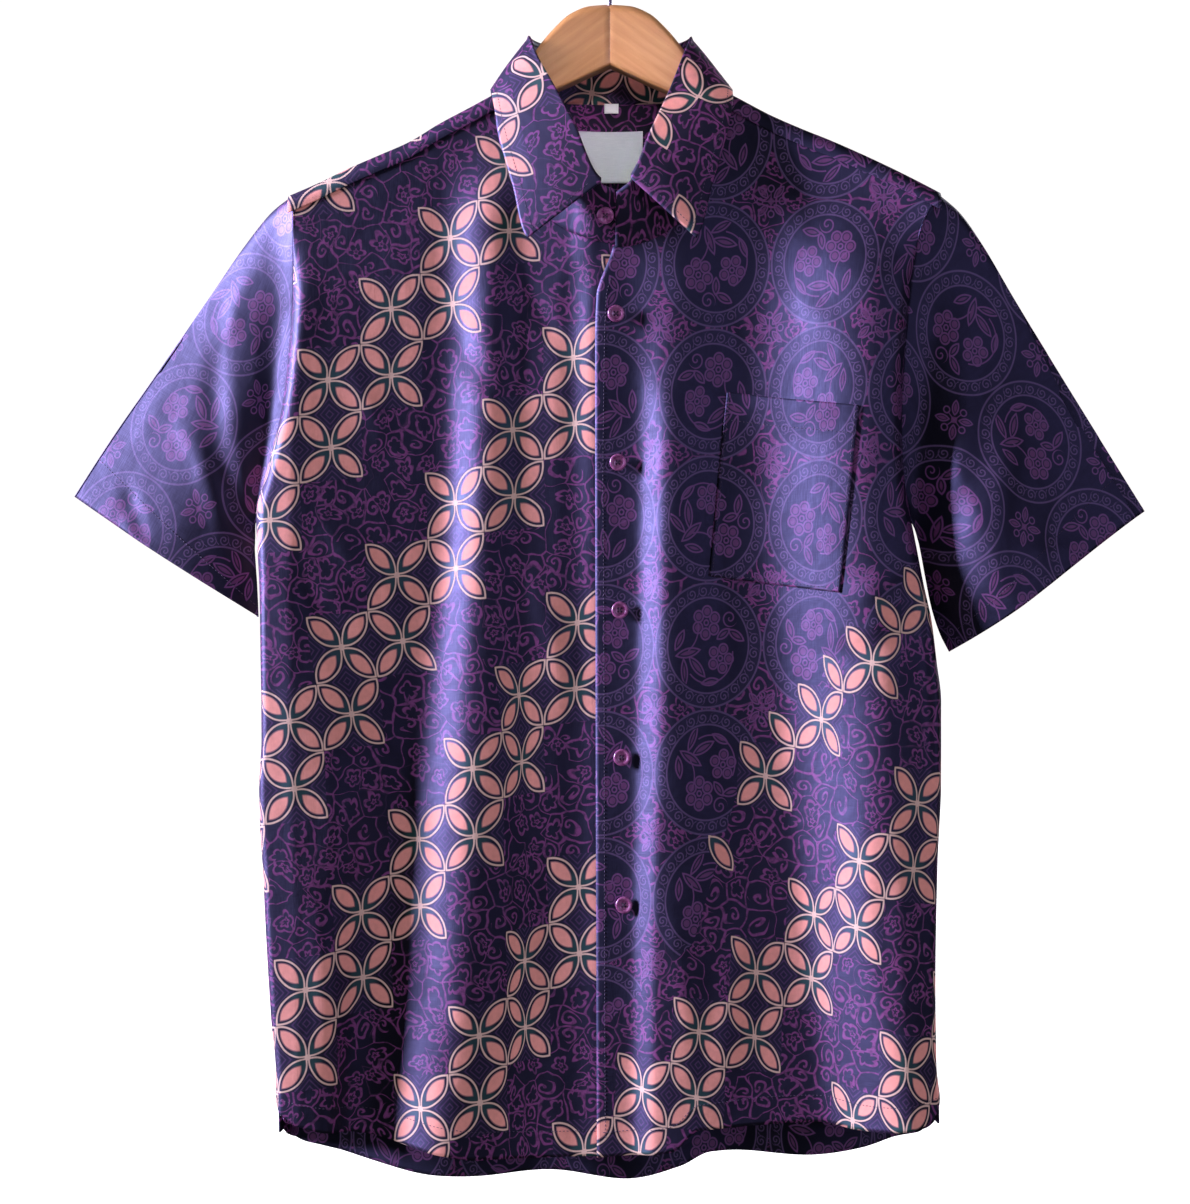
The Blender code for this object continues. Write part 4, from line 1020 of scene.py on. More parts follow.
def formula(tree, text, **values):
    # arithmetic written out as text, laid down as Math nodes; tau is a whole turn
    values["tau"] = math.tau

    def lay(step, *parts):
        node = addNode(tree, "ShaderNodeMath", dict(enumerate(parts)), operation=mathSteps[step])
        return node.outputs[0]

    def clipped(part):
        socket = part if isinstance(part, bpy.types.NodeSocket) else lay("Add", part, 0)
        socket.node.use_clamp = True
        return socket

    def work(part):
        if isinstance(part, ast.Constant):
            return float(part.value)
        if isinstance(part, ast.Name):
            return values[part.id]
        if isinstance(part, ast.UnaryOp):
            inner = work(part.operand)
            return -inner if isinstance(inner, float) else lay("Mult", inner, -1.0)
        if isinstance(part, ast.BinOp):
            return lay(type(part.op).__name__, work(part.left), work(part.right))
        name, parts = part.func.id, [work(piece) for piece in part.args]
        if name == "clip":
            return clipped(lay("Add", parts[0], 0.0))
        if name == "hypot":
            return lay("sqrt", lay("Add", *(lay("Mult", part, part) for part in parts)))
        if name == "line":   # distance, half width, softness of the edge
            depth = lay("Sub", parts[1], lay("size", parts[0]))
            return clipped(lay("Add", lay("Div", depth, parts[2]), 0.5))
        if name == "inside":   # distance, softness of the edge
            return clipped(lay("Sub", 0.5, lay("Div", parts[0], parts[1])))
        return lay(name, *parts)
    return work(ast.parse(text).body[0].value)


def workOut(tree, values, **texts):
    # adds each formula's result to the values, in turn
    for key, text in texts.items():
        values[key] = formula(tree, text, **values)
    return values


def highest(tree, marks):
    whole = marks[0]
    for mark in marks[1:]:
        whole = formula(tree, "high(a, b)", a=whole, b=mark)
    return whole


def chance(tree, x, y):
    # three steady chances for each whole x and y
    at = addNode(tree, "ShaderNodeCombineXYZ", {0: x, 1: y, 2: 0.37})
    noise = addNode(tree, "ShaderNodeTexWhiteNoise", {"Vector": at.outputs[0]},
                    noise_dimensions="3D")
    return addNode(tree, "ShaderNodeSeparateColor", {0: noise.outputs["Color"]}).outputs


def inLattice(tree, u, v, lattice):
    # how many steps across and up a skewed lattice a point of the cloth lies
    (ax, az), (bx, bz), (ox, oz) = lattice["across"], lattice["up"], lattice["origin"]
    area = ax * bz - bx * az
    values = dict(u=u, v=v, ox=ox, oz=oz, p=bz / area, q=-bx / area, r=-az / area, s=ax / area)
    return (formula(tree, "(u - ox) * p + (v - oz) * q", **values),
            formula(tree, "(u - ox) * r + (v - oz) * s", **values))


# dyes, as they look in plain even light
dye = {
    "ground": "#15111f", "vine": "#7a3578", "medallion": "#131122", "border": "#1d162c",
    "ring": "#58416f", "petal": "#633066", "flowerLine": "#6b3a76", "gap": "#1c142a",
    "gapLine": "#452a54", "margin": "#111216", "teal": "#1c4440", "pink": "#f0a09c",
    "cream": "#dfbcb8", "edge": "#9c6c70",
}
# sizes on the cloth in mm, or in shares of a lattice step where they say so
vine = {"cell": 16.0, "wander": 7.0, "wanderOver": 0.034, "twist": 8.0, "twistOver": 0.07,
        "half": 0.86, "pitch": 4.6}


def vineLines(tree, u, v, spread):
    # irregular cells: in each a scalloped cloud with a small flower, or a curl, with wavy stems
    # between them
    flat = addNode(tree, "ShaderNodeCombineXYZ", {0: u, 1: v, 2: 0.0}).outputs[0]
    fine = addNode(tree, "ShaderNodeTexNoise", {"Vector": flat, "Scale": vine["twistOver"],
                                                "Detail": 0.5}, noise_dimensions="2D")
    fine = addNode(tree, "ShaderNodeSeparateColor", {0: fine.outputs["Color"]}).outputs
    values = dict(vine, u=u, v=v, tx=fine[0], ty=fine[1], nx=spread[0], ny=spread[1])
    workOut(tree, values, x="u + wander * (nx - 0.5) + twist * (tx - 0.5)",
            y="v + wander * (ny - 0.5) + twist * (ty - 0.5)")
    at = addNode(tree, "ShaderNodeCombineXYZ", {0: values["x"], 1: values["y"], 2: 0.0}).outputs[0]
    inputs = {"Vector": at, "Scale": 1 / vine["cell"], "Randomness": 0.8}
    cell, stem = (addNode(tree, "ShaderNodeTexVoronoi", inputs, voronoi_dimensions="2D",
                          feature=feature) for feature in ("F1", "DISTANCE_TO_EDGE"))
    middle = addNode(tree, "ShaderNodeSeparateXYZ", {0: cell.outputs["Position"]}).outputs
    chances = addNode(tree, "ShaderNodeSeparateColor", {0: cell.outputs["Color"]}).outputs
    values.update(zip("abc", chances), px=middle[0], py=middle[1], e=stem.outputs["Distance"])
    workOut(tree, values, wx="x - px", wy="y - py", r="hypot(wx, wy)",
            turn="angle(wy, wx) * sign(c - 0.5)")
    marks = (
        "line(e * cell, half * 0.8, 0.6) * clip((0.8 - a) * 8)",
        "line(r - 4.0 - 2.2 * size(sin(turn * 2.5 + b * 6)), half, 0.6) * over(a, 0.5)",
        "line(r - 1.7 - 0.5 * cos(turn * 5 + b * 6), half * 0.7, 0.5) * over(a, 0.7)",
        "line((frac(r / pitch + turn / tau + b) - 0.5) * pitch, half, 0.55) * under(a, 0.5)"
        " * under(r, 4.8 + 2.4 * c + 0.5 * turn)",
    )
    return highest(tree, [formula(tree, mark, **values) for mark in marks])


# the posy in shares of a round: blooms' x, y, petals, reach and turn; leaves' x, y, degrees,
# length and width
posyBlooms = ((-0.15, 0.05, 6, 0.078, "k"), (0.125, 0.06, 5, 0.07, "m"))
posyLeaves = ((-0.02, -0.17, 78, 0.1, 0.03), (0.1, -0.14, 20, 0.095, 0.03),
              (0.09, -0.25, -18, 0.09, 0.024), (-0.13, -0.2, 130, 0.075, 0.026),
              (0.03, 0.24, 35, 0.07, 0.028), (-0.02, 0.15, 100, 0.06, 0.026),
              (0.24, -0.08, 75, 0.07, 0.024))
posyTendrils = (
    "line((frac(cr / 0.042 - angle(rb - 0.24, ra + 0.1) / tau) - 0.5) * 0.042, 0.0055, 0.005)"
    " * under(cr, 0.062)",
    "line(hypot(ra - 0.06, rb + 0.02) - 0.2, 0.005, 0.005) * over(ra, 0.12)",
    "line(hypot(ra + 0.22, rb + 0.2) - 0.19, 0.005, 0.005) * over(rb + ra, -0.2)",
)


def bloom(tree, values, x, y, petals, reach, turn):
    # round petals about a centre: their outlines, and their filled insides
    values = dict(values, x=x, y=y, n=petals / math.tau, reach=reach, petal=reach * 0.5,
                  turn=values[turn])
    workOut(tree, values, fx="ra - x", fy="rb - y", fr="hypot(fx, fy)",
            open="(frac(angle(fy, fx) * n + turn) - 0.5) / n",
            d="hypot(fr * cos(open) - reach, fr * sin(open)) - petal",
            outline="high(line(d, 0.0065, 0.005), line(fr - 0.018, 0.006, 0.005))",
            fill="inside(d + petal * 0.35, 0.008)")
    return values["outline"], values["fill"]


def roundness(length, width):
    # the radius of the two arcs that make a pointed petal
    return (length**2 + width**2) / (2 * width)


def leafMark(tree, values, x, y, degrees, length, width):
    # a pointed leaf: its outline and its inner fill
    turn, arc = math.radians(degrees), roundness(length, width)
    values = dict(values, x=x, y=y, c=math.cos(turn), s=math.sin(turn), arc=arc, back=arc - width)
    workOut(tree, values, along="(ra - x) * c + (rb - y) * s",
            beside="size((rb - y) * c - (ra - x) * s)", d="hypot(along, beside + back) - arc",
            outline="line(d, 0.006, 0.005)", fill="inside(d + 0.016, 0.008)")
    return values["outline"], values["fill"]


def medallions(tree, u, v, lattice):
    # touching rounds with a scroll border, a posy in each and a twig in the gaps between them
    a, b = inLattice(tree, u, v, lattice)
    values = workOut(tree, {"a": a, "b": b}, na="floor(a + 0.5)", nb="floor(b + 0.5)",
                     ga="a - na", gb="b - nb")
    values["h"], values["k"], values["m"] = chance(tree, values["na"], values["nb"])
    # two rings, and the border's scroll of 24 running curls between them
    workOut(tree, values, r="hypot(ga, gb)", disc="inside(r - 0.496, 0.006)",
            rings="high(line(r - 0.489, 0.0075, 0.006), line(r - 0.377, 0.007, 0.006))",
            border="inside(r - 0.487, 0.006) * inside(0.379 - r, 0.006)",
            lap="frac(angle(gb, ga) * 24 / tau) - 0.5", bx="lap * 0.113 + 0.012",
            by="r - 0.431", br="hypot(bx, by)",
            curl="line((frac(br / 0.03 - angle(by, bx) / tau) - 0.5) * 0.03, 0.0052, 0.005)"
                 " * under(br, 0.046)",
            wave="line(by - 0.034 * cos(lap * tau), 0.0045, 0.005) * over(lap, 0.16)",
            scroll="high(curl, wave) * border")
    # the posy, turned its own way in each round
    workOut(tree, values, tc="cos(h * tau)", ts="sin(h * tau)", ra="(ga * tc + gb * ts) * 0.88",
            rb="(gb * tc - ga * ts) * sign(k - 0.5) * 0.88", cr="hypot(ra + 0.1, rb - 0.24)")
    marks = [bloom(tree, values, *row) for row in posyBlooms]
    marks += [leafMark(tree, values, *row) for row in posyLeaves]
    tendrils = [formula(tree, text, **values) for text in posyTendrils]
    values["posyLines"] = highest(tree, [mark[0] for mark in marks] + tendrils)
    values["posyFills"] = highest(tree, [mark[1] for mark in marks])
    # the twig of four buds in the gap, with a small flower in its middle
    return workOut(
        tree, values, ea="0.5 - size(ga)", eb="0.5 - size(gb)", s="(ea + eb) * 0.7071",
        t="size(ea - eb) * 0.7071", d="hypot(s - 0.1, t + 0.055) - 0.08",
        e="hypot(low(ea, eb), high(ea, eb) - 0.1)",
        gapLines="high(high(line(d, 0.006, 0.005), line(e - 0.026, 0.0055, 0.005)),"
                 " line(low(ea, eb), 0.004, 0.004) * under(high(ea, eb), 0.08))",
        gapFills="high(inside(d + 0.012, 0.008), inside(s - 0.024, 0.008))",
        within="inside(r - 0.362, 0.006)", outside="inside(0.502 - r, 0.006)",
        lines="high(posyLines * within, gapLines * outside)",
        fills="high(posyFills * within, gapFills * outside)")


# sizes of the four-petal figure, in shares of its lattice step
kawung = {"outerAt": 0.355, "outerLong": 0.342, "outerWide": 0.168, "rimWide": 0.028,
          "innerAt": 0.383, "innerLong": 0.222, "innerWide": 0.1, "sway": 0.05, "soft": 0.012}


def kawungMarks(tree, u, v, lattice, bands, spread):
    # bands of four-petal figures on a lattice that sways a little, as a hand draws it
    i, j = inLattice(tree, u, v, lattice)
    values = dict(kawung, i=i, j=j, nx=spread[0], ny=spread[1])
    workOut(tree, values, i="i + sway * (ny - 0.5)", j="j + sway * (nx - 0.5)",
            ni="floor(i + 0.5)", nj="floor(j + 0.5)", gx="i - ni", gy="j - nj",
            ax="size(gx)", ay="size(gy)", s="(ax + ay) * 0.7071", t="size(ax - ay) * 0.7071",
            m="0.5 - size(ax - ay)")
    for name in ("outer", "inner"):
        at, length, width = (kawung[name + part] for part in ("At", "Long", "Wide"))
        arc = roundness(length, width)
        values[name] = formula(tree, "hypot(s - at, t + back) - arc", at=at, back=arc - width,
                               arc=arc, **values)
    return workOut(
        tree, values, band=bands["cells"], petal=bands.get("petals", "band"),
        gap="band * inside(m - 0.31, soft)",
        gapLine="band * high(high(line(m - 0.235, 0.016, soft), line(m - 0.15, 0.014, soft)),"
                " line(m - 0.06, 0.014, soft))",
        shadow="petal * inside(outer - 0.022, soft)", rim="petal * inside(outer, soft)",
        margin="rim * inside(outer + rimWide, soft)", teal="margin * clip((0.3 - s) * 8)",
        edge="petal * inside(inner - 0.006, soft)", pink="petal * inside(inner + 0.008, soft)",
        node="petal * inside(hypot(gx, gy) - 0.048, soft)", waxed="high(pink, rim - margin)")


cloth = {"rough": 0.59, "markRough": 0.56, "waxRough": 0.9, "gloss": 0.5,
         "glossTint": (0.58, 0.62, 1.0, 1), "crumple": 18.0, "weave": 0.00006,
         "creasing": 0.0007, "relief": 0.8}
# which mark is laid in which dye, from the ground up
roundLayers = (("disc", "medallion"), ("border", "border"), ("scroll", "ring"),
               ("fills", "petal"), ("lines", "flowerLine"), ("rings", "ring"))
kawungLayers = (("gap", "gap"), ("gapLine", "gapLine"), ("shadow", "margin"), ("rim", "cream"),
                ("margin", "margin"), ("teal", "teal"), ("edge", "edge"), ("pink", "pink"),
                ("node", "cream"))
shinyDyes = ("vine", "petal", "flowerLine", "ring")


def batikCotton(name, print_):
    # batik: fine plain-woven cotton, waxed, dyed in turn and calendered, which leaves a soft
    # bluish shine on the dark ground and a duller face where the wax kept it pale
    material, tree, shader = newFinish(name)
    place = addNode(tree, "ShaderNodeUVMap", uv_map="cloth")
    split = addNode(tree, "ShaderNodeSeparateXYZ", {0: place.outputs[0]})
    u, v = (formula(tree, "x * 1000", x=split.outputs[k]) for k in (0, 1))
    flat = addNode(tree, "ShaderNodeCombineXYZ", {0: u, 1: v, 2: 0.0}).outputs[0]
    # threads are drawn 1.1 mm apart, because 0.25 mm can't show
    along, across = (addNode(tree, "ShaderNodeMapping", {"Vector": flat, "Scale": scale}).outputs[0]
                     for scale in ((0.9, 0.12, 1), (0.12, 0.9, 1)))
    noises = {"drift": (flat, vine["wanderOver"], 1.5, 0.5), "blot": (flat, 0.22, 3.0, 0.6),
              "crumpled": (flat, 1 / cloth["crumple"], 2.5, 0.45),
              "warp": (along, 1.0, 1.0, 0.5), "weft": (across, 1.0, 1.0, 0.5)}
    for key, row in noises.items():
        inputs = dict(zip(("Vector", "Scale", "Detail", "Roughness"), row))
        noises[key] = addNode(tree, "ShaderNodeTexNoise", inputs, noise_dimensions="2D").outputs
    spread = addNode(tree, "ShaderNodeSeparateColor", {0: noises["drift"]["Color"]}).outputs[:2]
    blot = noises["blot"]["Fac"]
    layers, resist = [], 0.0
    if "kawung" in print_:
        vines = vineLines(tree, u, v, spread)
        layers.append((formula(tree, "vines * clip(2.3 * blot - 0.25)", vines=vines, blot=blot),
                       "vine"))
    if "medallion" in print_:
        marks = medallions(tree, u, v, print_["medallion"])
        marks["share"] = formula(tree, print_["rounds"] + " + 0", u=u, v=v)
        layers += [(formula(tree, f"{mark} * share", **marks), paint)
                   for mark, paint in roundLayers]
    if "kawung" in print_:
        marks = kawungMarks(tree, u, v, print_["kawung"], print_["bands"], spread)
        layers += [(marks[mark], paint) for mark, paint in kawungLayers]
        resist = marks["waxed"]
    colour = linear(dye["ground"])
    for mask, paint in layers:
        colour = addNode(tree, "ShaderNodeMix", {0: mask, 6: colour, 7: linear(dye[paint])},
                         data_type="RGBA").outputs[2]
    # uneven dyeing: a soft lightening and darkening
    patchy = formula(tree, "0.86 + 0.28 * blot", blot=blot)
    tone = addNode(tree, "ShaderNodeCombineXYZ", {0: patchy, 1: patchy, 2: patchy}).outputs[0]
    mixed = addNode(tree, "ShaderNodeMix", {0: 1.0, 6: colour, 7: tone}, data_type="RGBA",
                    blend_type="MULTIPLY")
    marked = highest(tree, [mask for mask, paint in layers if paint in shinyDyes])
    rough = formula(tree, "rough + (markRough - rough) * marked + (waxRough - rough) * resist"
                    " + 0.1 * (blot - 0.5)", marked=marked, resist=resist, blot=blot, **cloth)
    heights = {key: noises[key]["Fac"] for key in ("warp", "weft", "crumpled")}
    height = formula(tree, "(warp + weft) * weave + crumpled * creasing", **heights, **cloth)
    bump = addNode(tree, "ShaderNodeBump", {"Height": height, "Distance": 1.0,
                                            "Strength": cloth["relief"]})
    feed(tree, shader, {"Base Color": mixed.outputs[2], "Roughness": rough,
                        "Specular IOR Level": cloth["gloss"], "Specular Tint": cloth["glossTint"],
                        "Normal": bump.outputs[0]})
    return material


rightKawung = {"across": (41.95, 4.11), "up": (-1.0, 44.94), "origin": (-101.5, -219.3)}
leftKawung = {"across": (38.3, -5.26), "up": (2.25, 44.33), "origin": (82.4, -579.9)}
chestRounds = {"across": (76.0, 0.8), "up": (0.6, 86.0), "origin": (81.0, -410.0)}
rightBands = {"cells": "under(wrap(ni - nj, 4), 1.5)"}
leftBands = {
    # the topmost band breaks up towards the middle of the shirt
    "cells": "under(wrap(ni - nj, 4), 1.5)"
             " * high(over(ni - nj, 2.5), over(ni - nj, 0.5) * over(ni, 0.5))",
    "petals": "under(wrap(ni - nj, 4), 1.5) * over(ni - nj + 0.25 * (sign(gx) - sign(gy)), 0.25)"
              " * high(over(ni - nj, 2.5), high(over(ni, 0.5), over(ni, -0.5) * over(ni - nj, 0.5)"
              " * over(gx, 0) * under(gy, 0)))",
}
# where the ground changes from rounds to vines on the wearer's left front
leftRounds = "under(0.02102 * (u - 82) - 0.02341 * (v + 578.8), 0.3 + 2.2 * clip((110 - u) / 40))"
leafBands = {
    "cells": "under(size(ni - nj), 0.5) * under(size(ni + 0.5), 0.6)",
    "petals": "high(high(band * (1 - over(ni, -0.5) * over(gx, 0) * under(gy, 0)),"
              " under(size(ni + 1), 0.5) * under(size(nj), 0.5) * over(gx, 0) * under(gy, 0)),"
              " high(under(size(ni - 10), 0.5) * under(size(nj), 0.5)"
              " * (1 - over(gx, 0) * under(gy, 0)),"
              " high(under(size(ni - 10), 0.5) * under(size(nj + 1), 0.5)"
              " * under(gx, 0) * over(gy, 0),"
              " under(size(ni - 11), 0.5) * under(size(nj + 2), 0.5) * under(gx, 0))))",
}
prints = {
    "front_right": {"kawung": rightKawung, "bands": rightBands},
    "front_left": {"kawung": leftKawung, "bands": leftBands, "medallion": chestRounds,
                   "rounds": leftRounds},
    "back": {"kawung": rightKawung,
             "bands": {"cells": "under(wrap(ni - nj, 4), 1.5) * under(ni - nj, 5.5)"},
             "medallion": chestRounds, "rounds": "over(u / 42 - v / 45 - 7.29, 5.5)"},
    "yoke": {"kawung": dict(rightKawung, origin=(-104.9, -219.7)),
             "bands": {"cells": "under(wrap(ni - nj, 4), 1.5) * under(ni - nj, -2.5)"},
             "medallion": chestRounds, "rounds": "over(u / 42 - v / 45 - 7.38, -2.5)"},
    "sleeve_right": {"medallion": {"across": (4, 78), "up": (85, 0), "origin": (359, -79.5)},
                     "rounds": "1"},
    "sleeve_left": {"medallion": {"across": (4, -78), "up": (86, -2), "origin": (369.7, 45.7)},
                    "rounds": "1"},
    "collar_leaf": {"kawung": {"across": (41.7, 10.4), "up": (-10.6, 42.7),
                               "origin": (-45.9, -111.9)}, "bands": leafBands},
    "collar_stand": {"kawung": {"across": (42, -7.5), "up": (7.5, 42), "origin": (243, 7.7)},
                     "bands": {"cells": "under(size(nj), 0.5) * under(size(ni - 0.5), 0.6)"}},
}
studio = world.node_tree
seen = addNode(studio, "ShaderNodeLightPath").outputs["Is Camera Ray"]
strength = formula(studio, "0.38 + 0.7 * seen", seen=seen)
studio.links.new(strength, studio.nodes["Background"].inputs["Strength"])
studio.nodes["Background"].inputs["Color"].default_value = (1, 0.96, 0.955, 1)
world.cycles_visibility.glossy = False
bpy.context.scene.view_settings.view_transform = "Standard"
batik = {key: batikCotton("batik_cotton_" + key, print_) for key, print_ in prints.items()}


def speckle(tree, place, scale, detail):
    # soft noise stretched by a size in mm along each axis
    scale = tuple(1 / k for k in scale)
    stretched = addNode(tree, "ShaderNodeMapping", {"Vector": place, "Scale": scale}).outputs[0]
    inputs = {"Vector": stretched, "Scale": 1.0, "Detail": detail}
    return addNode(tree, "ShaderNodeTexNoise", inputs).outputs["Fac"]


def clouded(name, scale, detail, share, colours, rough, **settings):
    # a finish that drifts between two colours with one soft noise, n
    material, tree, shader = newFinish(name)
    n = speckle(tree, ownPlace(tree), scale, detail)
    inputs = {0: formula(tree, share, n=n), 6: linear(colours[0]), 7: linear(colours[1])}
    mixed = addNode(tree, "ShaderNodeMix", inputs, data_type="RGBA")
    feed(tree, shader, {**settings, "Base Color": mixed.outputs[2],
                        "Roughness": formula(tree, rough, n=n)})
    return material


def varnishedBeech():
    # beech, planed, sanded and spray-varnished: straight pale grain with short dark flecks under
    # a satin coat that catches a soft highlight
    material, tree, shader = newFinish("beech_varnished")
    # the grain runs down each arm
    split = addNode(tree, "ShaderNodeSeparateXYZ", {0: ownPlace(tree)}).outputs
    down = formula(tree, "size(x) * 0.8 - z * 0.6", x=split[0], z=split[2])
    over = formula(tree, "size(x) * 0.6 + z * 0.8", x=split[0], z=split[2])
    place = addNode(tree, "ShaderNodeCombineXYZ", {0: down, 1: split[1], 2: over}).outputs[0]
    grain = speckle(tree, place, (70, 4.5, 3.4), 3.0)
    fleck = speckle(tree, place, (5.0, 0.8, 0.6), 1.0)
    share = formula(tree, "clip(1.7 * grain - 0.35)", grain=grain)
    dark = formula(tree, "clip((fleck - 0.66) * 6) * 0.3", fleck=fleck)
    colour = linear("#b87c4c")
    for mask, paint in ((share, "#d39c6c"), (dark, "#8a5a34")):
        colour = addNode(tree, "ShaderNodeMix", {0: mask, 6: colour, 7: linear(paint)},
                         data_type="RGBA").outputs[2]
    height = formula(tree, "grain * 0.00004 - dark * 0.00003", grain=grain, dark=dark)
    bump = addNode(tree, "ShaderNodeBump", {"Height": height, "Distance": 1.0, "Strength": 0.5})
    feed(tree, shader, {"Base Color": colour, "Normal": bump.outputs[0], "Roughness": 0.38,
                        "Coat Weight": 0.35, "Coat Roughness": 0.18, "IOR": 1.5})
    return material


def wovenTape(name, ground, ribbed):
    # polyester label tape, satin-woven: fine ribs 0.6 mm apart that shine a little
    material, tree, shader = newFinish(name)
    place = ownPlace(tree)
    rows = addNode(tree, "ShaderNodeSeparateXYZ", {0: place}).outputs
    rib = formula(tree, "0.5 + 0.5 * sin(z * 10.5) * sin(x * 10.5)", x=rows[0], z=rows[2])
    uneven = speckle(tree, place, (6.0, 6.0, 0.8), 2.0)
    share = formula(tree, "clip(rib * 0.5 + uneven * 0.6 - 0.1)", rib=rib, uneven=uneven)
    mixed = addNode(tree, "ShaderNodeMix", {0: share, 6: linear(ribbed), 7: linear(ground)},
                    data_type="RGBA")
    bump = addNode(tree, "ShaderNodeBump", {"Height": formula(tree, "rib * 0.00005", rib=rib),
                                            "Distance": 1.0, "Strength": 0.6})
    feed(tree, shader, {"Base Color": mixed.outputs[2], "Normal": bump.outputs[0],
                        "Roughness": 0.55, "Sheen Weight": 0.15})
    return material


beech = varnishedBeech()
# polyester resin, turned and tumbled: clouded purple, its gloss varying with the clouding
resin = clouded("polyester_resin_tumbled", (3.0, 3.0, 2.0), 2.0, "clip(2.2 * n - 0.6)",
                ("#74306e", "#a862a4"), "0.2 + 0.2 * n", IOR=1.55)
# spun polyester thread: matt, twisted, a shade lighter than the cloth's ground
thread = clouded("polyester_thread_spun", (0.6, 0.6, 0.6), 1.0, "n", ("#2c1f38", "#54406a"), "0.7")
# bright nickel-plated steel wire: drawn, so its shine is streaked along it
steel = clouded("steel_wire_drawn", (0.5, 0.5, 9.0), 3.0, "n", ("#a9a9ac", "#d6d6d8"),
                "0.16 + 0.16 * n", Metallic=1.0)
# matt background paper, faintly fibrous, lit from behind so that it stays pale to its far edge
paper = clouded("background_paper", (14, 14, 14), 3.0, "n", ("#e2e2e4", "#ececee"), "0.95",
                **{"Emission Color": (1, 1, 1, 1), "Emission Strength": 0.88})
labelTape = wovenTape("label_tape_satin", "#e2e6f0", "#bcc2d2")
whiteTape = wovenTape("size_tape_satin", "#f2f2f4", "#d2d4dc")
print("finishes mixed")

bm = bmesh.new()
bmesh.ops.create_grid(bm, x_segments=1, y_segments=1, size=12,
                      matrix=Matrix.Translation((0, 0, -1.0)))
floor = addObject("floor", meshOf("floor", bm))
floor.data.materials.append(paper)
# the glowing paper is a backdrop only: it lights nothing and isn't mirrored in the cloth
floor.visible_diffuse, floor.visible_glossy = False, False

bodyHem = lambda s, t: t < 0.024
cuffHem = lambda s, t: s > 0.89
inNeck = lambda s, t: yokePanel["neckFrom"] < s < yokePanel["neckTo"] and t < yokePanel["over"]


def sew(node, across, down, shape, finish, made="cloth", wall=panel["wall"], **options):
    piece = clothSheet(f"{node}_{made}", across, down, shape, wall, finish, **options)
    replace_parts(piece, node)


sew("front_right", 104, 270, rightFront, batik["front_right"], hem=bodyHem)
sew("front_left", 104, 270, leftFront, batik["front_left"], flip=True, hem=bodyHem)
sew("back", 190, 250, backPoints, batik["back"], flip=True, hem=bodyHem)
sew("yoke", 150, 60, yokePoints, batik["yoke"], cut=inNeck, flip=True)
print("body sewn")


def sleeveOf(table, side, creases, axis):
    return lambda s, t: sleevePoints(s, t, table, side, creases, axis)


rightArm = sleeveOf(sleeveRight, sideRight, rightSleeveCreases, (-0.496, -0.868))
leftArm = sleeveOf(sleeveLeft, sideLeft, leftSleeveCreases, (0.544, -0.839))
sew("sleeve_right", 90, 170, rightArm, batik["sleeve_right"], flip=True, tube=True, hem=cuffHem)
sew("sleeve_left", 90, 170, leftArm, batik["sleeve_left"], tube=True, hem=cuffHem)
sew("collar_stand", 220, 14, standPoints, batik["collar_stand"], wall=collarFit["wall"])
sew("collar_leaf", 220, 44, leafPoints, batik["collar_leaf"], wall=collarFit["wall"])
sew("chest_pocket", 60, 84, pocketPoints, batik["front_left"])
print("sleeves, collar and pocket sewn")

tape = {"made": "tape", "wall": labels["wall"], "slot": "woven_label"}
sew("neck_label", 24, 18, labelPoints(labels["neck"]), labelTape, **tape)
sew("size_tab", 8, 6, labelPoints(labels["size"]), whiteTape, **tape)

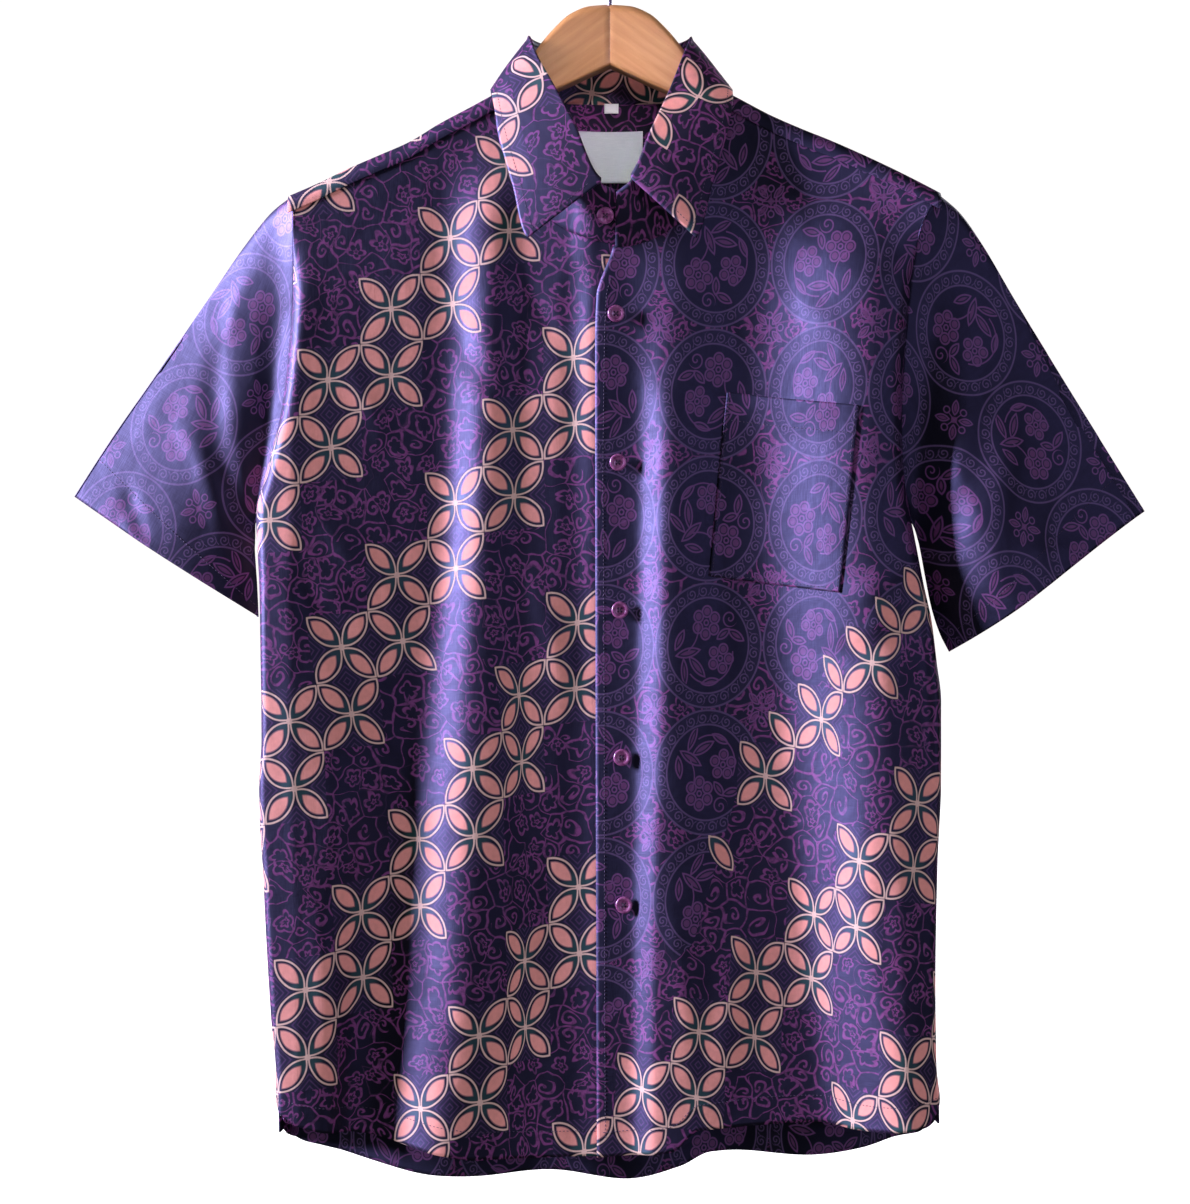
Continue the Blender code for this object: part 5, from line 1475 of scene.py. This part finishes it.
knots = []
for k in range(5):
    x, z = button["first"][0] + button["drift"] * k, button["first"][1] - button["pitch"] * k
    place = onFront(x, z, button["lift"])[0]
    normal = surfaceNormal(frontY, np.array([x]), np.array([z]))[0]
    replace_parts(addButton(f"shirt_button_{k + 2}", place, normal, resin), f"button_{k + 2}")
    knots.append(buttonKnot(place, normal))
at = np.array([button["standAt"]])
low, high = onSeam(at)[0], collarLine(1, at)[0]
ahead = onSeam(at + 0.01)[0] - low
normal = np.cross(high - low, ahead)
normal = normal / np.linalg.norm(normal) * (-1 if normal[1] > 0 else 1)
place = (low + high) / 2 + normal * button["standLift"]
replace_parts(addButton("shirt_button_1", place, normal, resin), "button_1")
addStitching("button_thread", knots + [buttonKnot(place, normal)], thread)
print("buttons sewn on")

front, behind = (0, -1, 0), (0, 1, 0)
hemAt, cuffAt = 0.027, 0.885
addStitching("body_stitching", [
    stitchRow(rightFront, ((0.03, hemAt), (0.985, hemAt)), front),
    stitchRow(leftFront, ((0.03, hemAt), (0.985, hemAt)), front),
    stitchRow(leftFront, ((0.976, 0.02), (0.976, 0.5), (0.976, 0.965)), front),
    stitchRow(backPoints, ((0.015, hemAt), (0.5, hemAt), (0.985, hemAt)), behind),
    stitchRow(yokePoints, ((0.01, 0.03), (0.33, 0.03)), front),
    stitchRow(yokePoints, ((0.67, 0.03), (0.99, 0.03)), front),
    stitchRow(yokePoints, ((0.01, 0.985), (0.5, 0.985), (0.99, 0.985)), behind),
], thread)
addStitching("sleeve_stitching", [
    stitchRow(arm, ((cuffAt, start), (cuffAt, start + 0.48)), out)
    for arm in (rightArm, leftArm) for start, out in ((0.01, front), (0.51, behind))
], thread)
addStitching("collar_stitching", [
    stitchRow(leafPoints, ((0.012, 0.2), (0.012, 0.9), (0.25, 0.9), (0.5, 0.9), (0.75, 0.9),
                           (0.988, 0.9), (0.988, 0.2))),
], thread)
addStitching("pocket_stitching", [
    stitchRow(pocketPoints, ((0.022, 0.98), (0.022, 0.018), (0.978, 0.018), (0.978, 0.98)), front),
    stitchRow(pocketPoints, ((0.02, 0.85), (0.98, 0.85)), front),
], thread)
print("stitched")

for name, outward in (("wooden_arm_right", -1), ("wooden_arm_left", 1)):
    arm = clothSheet(name, 90, 40, armPoints(outward), 0, beech, slot="varnished_wood",
                     flip=outward < 0, tube=True)
    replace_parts(arm, "hanger_wood")
wire = addHook("wire_hook", steel)
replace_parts(wire, "hanger_hook")
print("hanger made")
